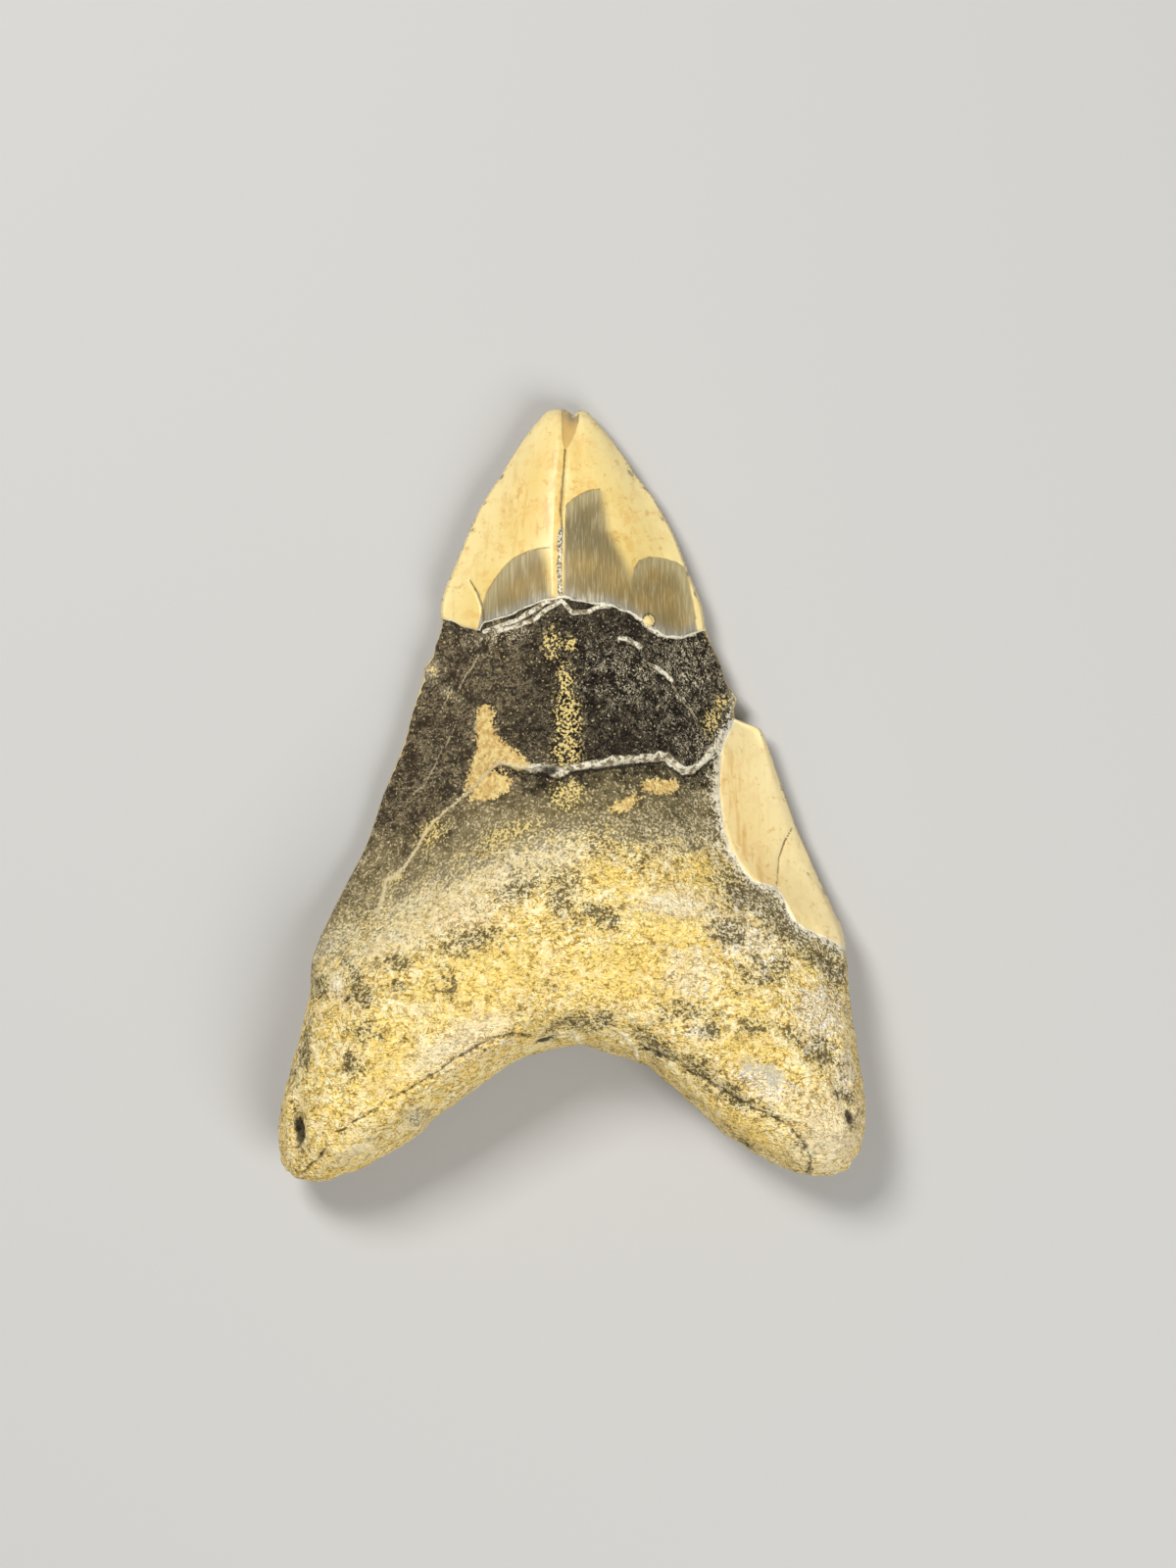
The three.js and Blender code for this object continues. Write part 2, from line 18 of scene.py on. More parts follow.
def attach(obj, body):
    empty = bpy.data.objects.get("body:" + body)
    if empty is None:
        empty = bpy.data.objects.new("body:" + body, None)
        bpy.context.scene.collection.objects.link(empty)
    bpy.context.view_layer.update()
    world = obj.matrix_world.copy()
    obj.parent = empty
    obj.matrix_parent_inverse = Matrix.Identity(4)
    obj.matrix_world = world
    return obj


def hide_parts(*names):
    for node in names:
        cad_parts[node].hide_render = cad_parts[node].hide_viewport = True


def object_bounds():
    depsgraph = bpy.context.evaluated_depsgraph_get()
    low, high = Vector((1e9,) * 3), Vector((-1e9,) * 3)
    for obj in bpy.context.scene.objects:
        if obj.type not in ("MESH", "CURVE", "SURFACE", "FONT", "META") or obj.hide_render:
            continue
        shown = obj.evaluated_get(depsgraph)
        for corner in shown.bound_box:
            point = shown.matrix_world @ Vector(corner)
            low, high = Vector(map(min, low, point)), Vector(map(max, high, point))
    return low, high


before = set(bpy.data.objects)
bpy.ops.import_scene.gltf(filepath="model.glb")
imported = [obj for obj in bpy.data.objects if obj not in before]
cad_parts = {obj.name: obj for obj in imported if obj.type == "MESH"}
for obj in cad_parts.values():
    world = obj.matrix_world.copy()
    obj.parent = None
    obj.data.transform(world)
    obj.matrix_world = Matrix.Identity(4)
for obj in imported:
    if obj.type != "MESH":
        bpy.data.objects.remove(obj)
cad_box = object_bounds()
scene = bpy.context.scene
bpy.ops.object.select_all(action="DESELECT")
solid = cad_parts["tooth"]
print("solid:", solid.name, len(solid.data.vertices), "vertices")

# %% [markdown]
# ## Where things lie
#
# Every mark on the tooth has to sit where the photograph shows it. Judging lengths by eye isn't exact enough,
# so small features are written as places on the photograph, and one function turns them into millimetres.
# The outlines that the solid has as well are written in millimetres, as they are there.

# %% From the photograph to the tooth
MM = 0.001  # metres in a millimetre
MM_PER_PIXEL = 0.153
PHOTO_SIZE = (1200, 1600)
TOOTH_ON_PHOTO = (583.5, 811.0)  # the middle of the tooth


def on_photo(*pixels):
    """Places on the tooth, in mm, from places on the photograph."""
    places = np.array(pixels, float)
    right = (places[:, 0] - TOOTH_ON_PHOTO[0]) * MM_PER_PIXEL
    up = (TOOTH_ON_PHOTO[1] - places[:, 1]) * MM_PER_PIXEL
    return np.stack([right, up], axis=1)


photo_middle = on_photo((PHOTO_SIZE[0] / 2, PHOTO_SIZE[1] / 2))[0]
print("middle of the photograph, mm:", photo_middle.round(2))

# %% [markdown]
# ## The camera
#
# The photograph looks straight down on the tooth with its tip up. A short lens would swell the thick root,
# so a long lens is used from well over a metre away, which shows the outline almost as it is measured.
# The Standard view shows each colour as it is painted, where the default view would bleach the ochre.

# %% A long lens straight above
LENS = 200.0
SENSOR_HEIGHT = 36.0
SHARP_HEIGHT = 6.0  # mm over the table, about the height of the tooth's outline
NEAREST = 0.01  # metres

camera = bpy.data.objects.new("Camera", bpy.data.cameras.new("Camera"))
scene.collection.objects.link(camera)
scene.camera = camera
camera.data.sensor_fit = "VERTICAL"
camera.data.sensor_height = SENSOR_HEIGHT
camera.data.sensor_width = SENSOR_HEIGHT
camera.data.lens = LENS
view_height = PHOTO_SIZE[1] * MM_PER_PIXEL
camera_height = LENS / SENSOR_HEIGHT * view_height + SHARP_HEIGHT
camera.location = Vector((photo_middle[0], photo_middle[1], camera_height)) * MM
camera.data.clip_start = NEAREST
scene.view_settings.view_transform = "Standard"
print("camera height, m:", round(camera.location.z, 3))

# %% [markdown]
# ## The fine surface
#
# The solid has flat facets almost 2 mm across, and the real surface is rounded, with broken walls and
# grain far smaller than that. It could be sculpted, or built again from nothing, but a copy of the solid
# keeps its form. The copy's loose triangles are merged, pairs of them become four-sided faces, and a
# Subdivision Surface modifier rounds them. The solid's sharp edges, which are the cutting edges and the
# broken walls of the enamel, get a crease so that they stay crisp.

# %% Merge a copy of the solid and crease its sharp edges
MERGE_DISTANCE = 1e-6
SHARP_ANGLE = math.radians(24)
PAIRING_ANGLE = math.radians(60)
CREASE = 0.75

tooth = bpy.data.objects.new("tooth_surface", solid.data.copy())
scene.collection.objects.link(tooth)
bpy.context.view_layer.objects.active = tooth
tooth.select_set(True)
tooth.data.materials.clear()


def tell_size(step):
    """Prints how many vertices and faces there are after a step."""
    print(step, len(tooth.data.vertices), "vertices,", len(tooth.data.polygons), "faces")


bpy.ops.object.mode_set(mode="EDIT")
bpy.ops.mesh.select_mode(type="VERT")
bpy.ops.mesh.select_all(action="SELECT")
bpy.ops.mesh.customdata_custom_splitnormals_clear()
bpy.ops.mesh.remove_doubles(threshold=MERGE_DISTANCE)
bpy.ops.mesh.tris_convert_to_quads(face_threshold=PAIRING_ANGLE, shape_threshold=PAIRING_ANGLE)
bpy.ops.mesh.select_all(action="DESELECT")
bpy.ops.mesh.select_mode(type="EDGE")
bpy.ops.mesh.edges_select_sharp(sharpness=SHARP_ANGLE)
bpy.ops.transform.edge_crease(value=CREASE)
bpy.ops.object.mode_set(mode="OBJECT")
tell_size("merged copy:")


# %% [markdown]
# The cutting edge has to be found again after the rounding, because the serrations go there. A vertex group
# marks the vertices where a face that looks up meets one that looks down, and the modifier carries it over.

# %% Mark the rim, then round
ROUNDING_LEVELS = 2


def vectors(elements, what):
    """One vector of each of a mesh's elements, as rows of an array."""
    values = np.empty(len(elements) * 3, np.float32)
    elements.foreach_get(what, values)
    return values.reshape(-1, 3)


face_up = vectors(tooth.data.polygons, "normal")[:, 2] > 0
meets_up = np.zeros(len(tooth.data.vertices), bool)
meets_down = np.zeros(len(tooth.data.vertices), bool)
for face in tooth.data.polygons:
    (meets_up if face_up[face.index] else meets_down)[list(face.vertices)] = True
rim_group = tooth.vertex_groups.new(name="rim")
rim_group.add(np.flatnonzero(meets_up & meets_down).tolist(), 1.0, "REPLACE")

rounding = tooth.modifiers.new("rounding", "SUBSURF")
rounding.levels = ROUNDING_LEVELS
rounding.render_levels = ROUNDING_LEVELS
bpy.ops.object.modifier_apply(modifier=rounding.name)
tell_size("rounded:")


# %% [markdown]
# The labial face is smoother and lies on the table, so Un-Subdivide takes every second line of its net out
# again, which leaves room for finer faces where the photograph shows fine things.

# %% Thin out the labial face
LABIAL_SLOPE = -0.35


def change_faces(chosen, operator, **settings):
    """Runs a mesh operator on the faces for which chosen is true."""
    bpy.ops.object.mode_set(mode="EDIT")
    bpy.ops.mesh.select_mode(type="FACE")
    bpy.ops.mesh.select_all(action="DESELECT")
    bpy.ops.object.mode_set(mode="OBJECT")
    tooth.data.polygons.foreach_set("select", chosen)
    bpy.ops.object.mode_set(mode="EDIT")
    operator(**settings)
    bpy.ops.object.mode_set(mode="OBJECT")
    print("faces changed:", int(np.sum(chosen)))


slopes = vectors(tooth.data.polygons, "normal")[:, 2]
change_faces(slopes < LABIAL_SLOPE, bpy.ops.mesh.unsubdivide, iterations=2)
tell_size("thinned:")

# %% [markdown]
# ## Distances on the surface
#
# Relief and colour both follow lines on the tooth: a crack, the border of the enamel, a groove. They could
# be painted by hand, but a distance to each line, worked out at every vertex, serves both: it raises or
# sinks the surface near the line, and the material reads it as an attribute.


# %% Distance to lines and depth inside an outline
def vertex_places():
    """The vertices' places in mm."""
    return vectors(tooth.data.vertices, "co").astype(float) / MM


def distance_to_lines(lines, places):
    """The distance from each place to the nearest of some lines, seen from above, in mm."""
    nearest = np.full(len(places), np.inf)
    for line in lines:
        for start, end in zip(line[:-1], line[1:]):
            along = end - start
            share = ((places[:, :2] - start) @ along) / (along @ along)
            foot = start + np.clip(share, 0, 1)[:, None] * along
            nearest = np.minimum(nearest, np.linalg.norm(places[:, :2] - foot, axis=1))
    return nearest


def depth_inside(outline, places):
    """How far each place is inside a closed outline, in mm; negative outside."""
    outline = np.asarray(outline, float)
    x, y = places[:, 0], places[:, 1]
    inside = np.zeros(len(places), bool)
    for (ax, ay), (bx, by) in zip(outline, np.roll(outline, -1, axis=0)):
        if ay != by:
            crosses = (ay > y) != (by > y)
            inside ^= crosses & (x < ax + (y - ay) / (by - ay) * (bx - ax))
    distance = distance_to_lines([np.vstack([outline, outline[:1]])], places)
    return np.where(inside, distance, -distance)


# %% [markdown]
# Soft things, such as a stain or a dent, have no border. Each is an oval spot, written as a row of numbers:
# its place on the photograph, its two half sizes in mm and its turn in degrees, anticlockwise.


# %% Soft steps, ridges and spots
def smoothstep(low, high, values):
    """0 below low, 1 above high and a smooth rise between."""
    share = np.clip((values - low) / (high - low), 0, 1)
    return share * share * (3 - 2 * share)


def ridge(distance, width):
    """1 on a line, falling smoothly to almost nothing at twice the width."""
    return np.exp(-((distance / width) ** 2))


def spots(marks, places):
    """1 in the middle of soft oval marks, falling smoothly outwards."""
    level = np.zeros(len(places))
    for x, y, half_length, half_width, turn in marks:
        offset = places[:, :2] - on_photo((x, y))[0]
        cosine, sine = math.cos(math.radians(turn)), math.sin(math.radians(turn))
        along = (offset[:, 0] * cosine + offset[:, 1] * sine) / half_length
        across = (offset[:, 1] * cosine - offset[:, 0] * sine) / half_width
        level = np.maximum(level, np.exp(-(along**2 + across**2)))
    return level


# %% [markdown]
# Rough stone needs noise. Blender's own works one point at a time, and this surface has tens of thousands,
# so a value noise is worked out for all at once: hashed numbers at the corners of a grid, blended smoothly
# between. The hash has no random state, so each run gives the same stone.

# %% A value noise for the whole surface at once
HASH_STEPS = np.array([73856093, 19349663, 83492791], np.int64)
SEED_STEP = 374761393
HASH_FACTOR = 1274126177
WEAKENING = 1.8  # how much weaker each finer noise is


def corner_values(corners, seed):
    """A hashed number from -1 to 1 for each corner of the grid."""
    mixed = (corners * HASH_STEPS).sum(axis=1) + seed * SEED_STEP
    mixed = (mixed ^ (mixed >> 13)) * HASH_FACTOR
    mixed = mixed ^ (mixed >> 16)
    return (mixed & 0xFFFF) / 32767.5 - 1.0


def noise(places, size, seed):
    """Smooth noise from -1 to 1 whose lumps are about size mm across."""
    grid = places / size
    cell = np.floor(grid).astype(np.int64)
    share = grid - cell
    share = share * share * (3 - 2 * share)
    total = np.zeros(len(places))
    for corner in np.ndindex(2, 2, 2):
        step = np.array(corner)
        weight = np.prod(np.where(step == 1, share, 1 - share), axis=1)
        total += weight * corner_values(cell + step, seed)
    return total


def rough(places, size, seed, octaves=3):
    """Noise with finer and weaker noise on top."""
    total = sum(noise(places, size / 2**n, seed + n) / WEAKENING**n for n in range(octaves))
    return total / sum(1 / WEAKENING**n for n in range(octaves))


places = vertex_places()
print("noise range:", rough(places, 2.0, 1).min().round(2), rough(places, 2.0, 1).max().round(2))

# %% [markdown]
# ## The enamel and the root
#
# These are the large regions. The enamel cap ends in a ragged break, and the leaf by the right edge is what
# is left of the blade. Both are the outlines that the solid is built on, and each closes well outside the
# tooth. The dark dentine passes into the ochre root along an arch. The labial face, which the photograph
# doesn't show, has its enamel down to an arch of its own.

# %% The large regions
CAP = [
    (-24, 28.4), (-20.9, 27.8), (-16.9, 26.2), (-14.3, 25.6), (-13.7, 26.7), (-9.7, 27.8), (-6.7, 29.1),
    (-4.2, 30.1), (-1.3, 30.8), (1.6, 29.8), (6, 29.4), (9, 28.2), (10.9, 27), (12.8, 25.6), (14.6, 24.6),
    (17.2, 24.4), (18.9, 25.2), (24, 26.6), (40, 40), (0, 90), (-40, 40),
]
LEAF = [
    (27, 18), (25.2, 11.3), (23.9, 9), (23.1, 6.1), (22.8, 2.8), (22.9, -1.2), (23.6, -5.2), (24.6, -8.5),
    (26.9, -12.1), (28.2, -13.5), (32.2, -14.6), (32.9, -16.4), (34.2, -19.1), (36.2, -21), (39.2, -22.1),
    (42.7, -24.1), (56, -28), (56, 18),
]
ROOT_REGION = on_photo(
    (200, 1025), (250, 1018), (325, 984), (361, 958), (405, 928), (443, 906), (490, 884), (540, 866),
    (600, 862), (650, 868), (700, 864), (735, 868), (760, 895), (800, 928), (862, 975), (950, 1010),
    (950, 1400), (200, 1400),
)
LABIAL_ENAMEL = [
    (-60, -36), (-41, -30.6), (-30, -24.5), (-20, -19.5), (-10, -16.3), (0, -15.4), (10, -16), (20, -19.3),
    (30, -24.8), (43, -30), (60, -36), (60, 90), (-60, 90),
]
BEAD = on_photo((662, 634))[0]
BEAD_RADIUS = 0.75


def distance_to_bead(places):
    """The distance to the middle of the small bead of enamel, in mm."""
    return np.linalg.norm(places[:, :2] - BEAD, axis=1)


def broken_enamel(places):
    """How far inside the enamel that is left on the lingual face each place is, in mm."""
    in_bead = BEAD_RADIUS - distance_to_bead(places)
    return np.maximum.reduce([depth_inside(CAP, places), depth_inside(LEAF, places), in_bead])


# %% [markdown]
# ## Cracks, ledges and grooves
#
# Then come the small lines. A ledge with a pale vein runs across the dentine, where a sheet of it split off.
# The arcs are the sharp upper borders of places where the enamel's skin has spalled off. Splits run through
# enamel, hairlines through dentine, and lips are the pale ropes of broken enamel along the cap's border.

# %% The small lines
ON_PHOTO = {
    "vein": [
        [(737, 749), (734, 758), (725, 767), (717, 778), (708, 785), (697, 787), (686, 779), (679, 772),
         (672, 771), (659, 774), (643, 775), (621, 777), (603, 782), (583, 784), (570, 789), (556, 781),
         (541, 784)],
    ],
    "fine_vein": [
        [(541, 784), (526, 781), (510, 779), (499, 787), (483, 804), (466, 818), (443, 838), (434, 851),
         (417, 880), (406, 893), (394, 899), (392, 913), (386, 930)],
    ],
    "arc": [
        [(493, 619), (497, 605), (505, 592), (515, 579), (525, 570), (538, 564), (549, 561), (561, 560)],
        [(577, 518), (584, 511), (593, 505), (603, 501), (612, 500)],
        [(647, 582), (652, 573), (662, 569), (676, 570), (690, 574), (698, 579), (703, 596), (707, 617),
         (710, 632)],
    ],
    "split": [
        [(577, 459), (574, 490), (572, 522), (573, 541), (571, 560)],
        [(809, 845), (801, 858), (795, 875), (793, 897), (791, 906)],
        [(479, 592), (487, 605), (492, 619), (493, 638)],
    ],
    "wide_split": [[(573, 541), (571, 560), (571, 580), (571, 600), (572, 608)]],
    "hairline": [
        [(462, 737), (471, 745), (482, 747)],
        [(463, 745), (458, 756), (447, 772), (440, 790), (432, 802), (411, 819)],
        [(490, 668), (483, 680), (475, 690), (468, 703)],
        [(659, 676), (668, 682), (684, 694)],
        [(684, 694), (692, 709), (703, 724), (712, 735)],
        [(352, 917), (367, 912), (380, 925)],
    ],
    "lip": [
        [(495, 645), (512, 639), (531, 632), (543, 625), (557, 616), (572, 609), (590, 611), (610, 617),
         (630, 619), (645, 626), (655, 636), (672, 648), (690, 650), (708, 646)],
        [(507, 646), (528, 640), (545, 633), (560, 622), (572, 614), (585, 626), (600, 626), (612, 620),
         (622, 620)],
        [(632, 652), (641, 653), (652, 661)],
        [(667, 681), (676, 687), (685, 694)],
    ],
    "groove": [
        [(540, 1054), (524, 1053), (508, 1056), (491, 1063), (473, 1074), (459, 1084), (445, 1093), (421, 1109),
         (400, 1117)],
        [(392, 1123), (370, 1139), (347, 1152)],
        [(336, 1168), (322, 1185), (308, 1196)],
        [(655, 1065), (671, 1074), (681, 1078), (694, 1080)],
        [(700, 1090), (712, 1097), (738, 1110), (755, 1123), (773, 1131), (796, 1141)],
        [(806, 1150), (820, 1167), (827, 1182), (824, 1194)],
    ],
    "ridge": [
        [(573, 1050), (583, 1048), (590, 1056), (588, 1066)],
        [(630, 1047), (641, 1057), (648, 1066), (652, 1078)],
    ],
}
LINES = {name: [on_photo(*line) for line in lines] for name, lines in ON_PHOTO.items()}
print("lines:", {name: len(lines) for name, lines in LINES.items()})

# %% [markdown]
# ## Faces fine enough for them
#
# A serration is under a millimetre and a lip is half of that, so the faces there are cut finer with the
# Subdivide operator. Cutting every face would make the mesh many times larger and no better.

# %% Finer faces beside the rim and the fine lines
RIM_REACH = 0.65  # mm from the rim, and so on
LINE_REACH = 0.75
BORDER_REACH = 0.6
RIM_SLOPE = 0.75  # how far up a rim vertex may look
RIM_WEIGHT = 0.99
SERRATIONS_TOP = 55.0  # mm up the tooth, where the tip begins
SERRATIONS_FADE = 6.0


def distance_to_rim(places):
    """The distance to the nearest rim vertex, where the surface turns over, seen from above."""
    tree = KDTree(len(places))
    for vertex, (x, y, z) in zip(tooth.data.vertices, places):
        if abs(vertex.normal.z) < RIM_SLOPE and any(member.weight > RIM_WEIGHT for member in vertex.groups):
            tree.insert((x, y, 0.0), vertex.index)
    tree.balance()
    return np.array([tree.find((x, y, 0.0))[2] for x, y, z in places])


def is_serrated(places):
    """1 where the cutting edge still has its enamel and its points."""
    whole = smoothstep(0.0, 0.6, broken_enamel(places))
    return whole * smoothstep(SERRATIONS_TOP, SERRATIONS_TOP - SERRATIONS_FADE, places[:, 1])


looks_up = vectors(tooth.data.vertices, "normal")[:, 2] > 0.1
near_rim = (distance_to_rim(places) < RIM_REACH) & (is_serrated(places) > 0)
fine_lines = [line for name, lines in LINES.items() if name != "hairline" for line in lines]
by_border = np.abs(broken_enamel(places)) < BORDER_REACH
near_line = (distance_to_lines(fine_lines, places) < LINE_REACH) | by_border
near = near_rim | (near_line & looks_up)
all_near = [all(near[v] for v in face.vertices) for face in tooth.data.polygons]
change_faces(all_near, bpy.ops.mesh.subdivide, number_cuts=1)
print("cut:", sum(len(face.vertices) - 2 for face in tooth.data.polygons), "triangles")

# %% [markdown]
# ## Regions at every vertex
#
# Now each vertex is told what it is part of: how deep inside the enamel, how far from the vein. The side that
# it is on comes from its normal, and what is on the lingual face alone is far away on the other. The places
# are shaken a little by noise first, because nothing in a fossil breaks along a ruler.

# %% Work out the regions
FAR = 99.0  # mm
LINGUAL_SLOPE = 0.02
SHAKE = 0.3  # mm
SHAKE_SIZE = 1.5


def lingual_depth(outline, places):
    """The depth inside an outline on the lingual face, far outside on the other."""
    return np.where(lingual, depth_inside(outline, places), -FAR)


def lingual_distance(lines, places):
    """The distance to the nearest line on the lingual face, far away on the other."""
    return np.where(lingual, distance_to_lines(lines, places), FAR)


places = vertex_places()
normals = vectors(tooth.data.vertices, "normal").astype(float)
lingual = normals[:, 2] > LINGUAL_SLOPE
shaken = places.copy()
for axis, seed in ((0, 11), (1, 17)):
    shaken[:, axis] += SHAKE * rough(places, SHAKE_SIZE, seed)

rim_distance = distance_to_rim(places)
labial_enamel = depth_inside(LABIAL_ENAMEL, shaken)
enamel = np.where(lingual, broken_enamel(shaken), labial_enamel)
leaf = lingual_depth(LEAF, shaken)
root = np.where(lingual, depth_inside(ROOT_REGION, shaken), 1.5 - labial_enamel)
on_enamel = smoothstep(-0.15, 0.15, enamel)
print("vertices on enamel:", int((enamel > 0).sum()), "on root:", int((root > 0).sum()))

# %% Distances to the lines
CRISP = ("arc", "split")  # lines that aren't shaken
RIDGE_SLOPE = 0.2  # how far up the surface looks, at least, where the base has its ridges
UNDERCUT = 0.85  # mm below the vein

distances = {
    name: lingual_distance(lines, places if name in CRISP else shaken) for name, lines in LINES.items()
}
distances["ridge"][normals[:, 2] <= RIDGE_SLOPE] = FAR
distances["under_vein"] = lingual_distance(LINES["vein"], shaken + np.array([0.0, UNDERCUT, 0.0]))
print("vertices under 0.5 mm from a line:", {name: int((mm < 0.5).sum()) for name, mm in distances.items()})

# %% [markdown]
# ## Spalls, the flake and the sediment
#
# The spalls are three fans under the arcs, sharp along the arc and fading out at the sides. So each is the
# product of two outlines, one with a hard border and one with a soft one. The flake is a thin raised sheet
# in the cap's lower left corner, and the scar a chip under the tip. Ochre sediment sticks to the dentine in
# patches with sharp borders.

# %% Small regions with a border
arcs = LINES["arc"]
SPALL_FANS = [
    np.vstack([on_photo((480, 670)), arcs[0][:7], on_photo((562, 560), (570, 575), (569, 670))]),
    np.vstack([on_photo((573, 680), (575, 560)), arcs[1],
               on_photo((640, 510), (660, 560), (668, 620), (668, 680))]),
    np.vstack([on_photo((635, 670), (640, 605)), arcs[2][:8], on_photo((712, 640), (716, 670))]),
]
CORNER_FLAKE = on_photo((430, 628), (453, 634), (467, 640), (490, 646), (493, 635), (492, 619), (487, 605),
                        (479, 595), (461, 587), (430, 585))
TIP_SCAR = on_photo((573, 415), (592, 415), (590, 430), (587, 443), (582, 453), (577, 460), (574, 450))
SOFT_FANS = [
    on_photo((460, 680), (480, 600), (500, 570), (530, 540), (549, 548), (557, 575), (561, 600), (570, 640),
             (572, 680)),
    on_photo((572, 680), (571, 480), (590, 480), (612, 488), (617, 515), (621, 540), (632, 562), (644, 585),
             (654, 610), (662, 680)),
    on_photo((640, 690), (650, 630), (640, 605), (640, 560), (690, 545), (740, 560), (740, 690)),
]
OCHRE_PATCHES = [
    on_photo((488, 724), (494, 719), (505, 724), (503, 738), (508, 751), (519, 758), (532, 771), (542, 782),
             (532, 786), (517, 782), (508, 779), (499, 786), (483, 805), (475, 805), (481, 784), (487, 764),
             (486, 744)),
    on_photo((494, 791), (506, 787), (523, 795), (521, 807), (510, 811), (501, 818), (481, 818), (481, 811)),
    on_photo((652, 800), (668, 795), (692, 797), (690, 807), (672, 811), (658, 808)),
    on_photo((621, 826), (630, 818), (646, 810), (653, 816), (640, 827), (624, 830)),
]
fans = [
    smoothstep(-0.05, 0.15, depth_inside(sharp, places)) * smoothstep(-1.0, 1.2, depth_inside(soft, places))
    for sharp, soft in zip(SPALL_FANS, SOFT_FANS)
]
spalled = np.maximum.reduce(fans) * lingual
flake = lingual_depth(CORNER_FLAKE, places)
scar = lingual_depth(TIP_SCAR, places)
ochre = np.maximum.reduce([lingual_depth(patch, shaken) for patch in OCHRE_PATCHES])
print("vertices in the spalls:", int((spalled > 0.5).sum()), "on ochre:", int((ochre > 0).sum()))

# %% [markdown]
# ## Relief
#
# The worn enamel is almost smooth, the dentine has a fine leathery grain, and the root is spongy, with lumps
# and pits. A Displace modifier with a texture could do one of these, but each region needs its own, so the
# heights are added up here, and every vertex is then moved along its normal.

# %% Heights of the ground
on_root = smoothstep(-5.0, 2.0, root + 3.0 * rough(places, 5.0, 23)) * (1 - on_enamel)
on_dentine = (1 - on_enamel) * (1 - on_root)
sponge = rough(places, 2.6, 31) * 0.28 + rough(places, 1.1, 37) * 0.2
pits = -0.4 * smoothstep(0.34, 0.7, rough(places, 1.7, 41, octaves=2))
leather = rough(places, 1.0, 43) * 0.06 + rough(places, 6.0, 44) * 0.12
growth = rough(places * np.array([1.0, 0.2, 1.0]), 1.6, 47, octaves=2) * 0.02
height = on_root * (sponge + pits) + on_dentine * leather + on_enamel * growth
print("ground, mm:", height.min().round(2), "to", height.max().round(2))

# %% [markdown]
# The lines and spots go on top of it. Each line has its height in mm, its width and where it shows. Below
# the vein the surface is undercut, and the material paints that lower border near black as painted shadow.
# Hollows are spots with a depth in mm at the end, and where that is negative they are low lumps.

# %% Heights of the lines and the spots
DENTS = [
    (559, 787, 2, 0.62, 5, 0.8), (354, 1017, 0.45, 1, -50, 0.7), (306, 1152, 1, 3.4, 4, 0.9),
    (346, 1002, 1, 1.7, 0, -0.4), (515, 1060, 0.7, 0.5, 30, -0.3), (556, 1061, 1.8, 0.6, 20, 0.6),
    (547, 1042, 1.6, 0.5, 30, 0.3), (462, 715, 1.3, 0.45, -35, 0.5), (570, 840, 3.8, 0.5, 9, 0.4),
    (612, 838, 4, 0.5, 8, 0.35), (850, 985, 0.8, 2.4, 8, 0.45), (808, 1056, 2.4, 0.8, -35, 0.4),
    (840, 1075, 2, 1.8, 0, 0.5), (857, 1112, 0.8, 2.2, 20, 0.5), (866, 1138, 0.8, 1.6, 20, 0.6),
    (819, 1168, 2.2, 1.6, -30, 0.4), (324, 1006, 1, 1, 0, 0.4), (311, 1070, 0.8, 4, -6, 0.4),
    (740, 952, 2.2, 1, -10, 0.3), (406, 1064, 2.4, 0.4, 35, 0.4), (778, 986, 2.4, 1.6, 0, 0.3),
]
NICKS = [
    (511, 486, 0.55, 0.3, 45), (494, 513, 0.4, 0.22, 45), (482, 540, 0.45, 0.2, 35), (470, 560, 0.4, 0.18, 30),
    (459, 590, 0.3, 0.3, 0), (632, 458, 0.4, 0.16, -50), (644, 482, 0.75, 0.35, -48),
    (659, 498, 0.6, 0.18, -35), (676, 529, 0.4, 0.22, -50), (702, 585, 0.22, 0.55, 10),
    (710, 606, 0.25, 0.5, 20), (826, 893, 0.5, 0.25, -60), (841, 910, 0.5, 0.25, -60),
    (779, 739, 0.5, 0.25, -50), (803, 804, 0.3, 0.14, -60), (816, 840, 0.3, 0.14, -60),
    (836, 884, 0.4, 0.18, -55), (853, 924, 0.4, 0.2, -50), (861, 946, 0.4, 0.2, -50),
]
bare = 1 - on_enamel
LINE_HEIGHTS = {
    "vein": (0.22, 0.55, bare * (0.8 + 0.6 * noise(places, 1.6, 53))),
    "fine_vein": (0.1, 0.3, bare),
    "under_vein": (-0.26, 0.35, bare),
    "hairline": (-0.1, 0.25, bare),
    "lip": (0.24, 0.3, bare * (1 + 0.7 * noise(places, 0.9, 59))),
    "split": (-0.22, 0.2, on_enamel),
    "wide_split": (-0.2, 0.35, on_enamel),
    "groove": (-0.45, 0.42, 0.8 + 0.5 * noise(places, 2.0, 60)),
    "ridge": (0.4, 0.45, 1.0),
}
for name, (rise, width, where) in LINE_HEIGHTS.items():
    height += rise * ridge(distances[name], width) * where
height -= 0.12 * spalled * on_enamel
height += 0.14 * smoothstep(-0.1, 0.2, flake) * on_enamel
height -= 0.16 * smoothstep(-0.1, 0.2, scar)
height += 0.12 * smoothstep(-0.1, 0.3, ochre) * bare
height += 0.55 * ridge(distance_to_bead(places), 0.6) * lingual
for *mark, depth in DENTS:
    height -= depth * spots([mark], places) * lingual
height -= 0.2 * spots(NICKS, places)
print("relief, mm:", height.min().round(2), "to", height.max().round(2))

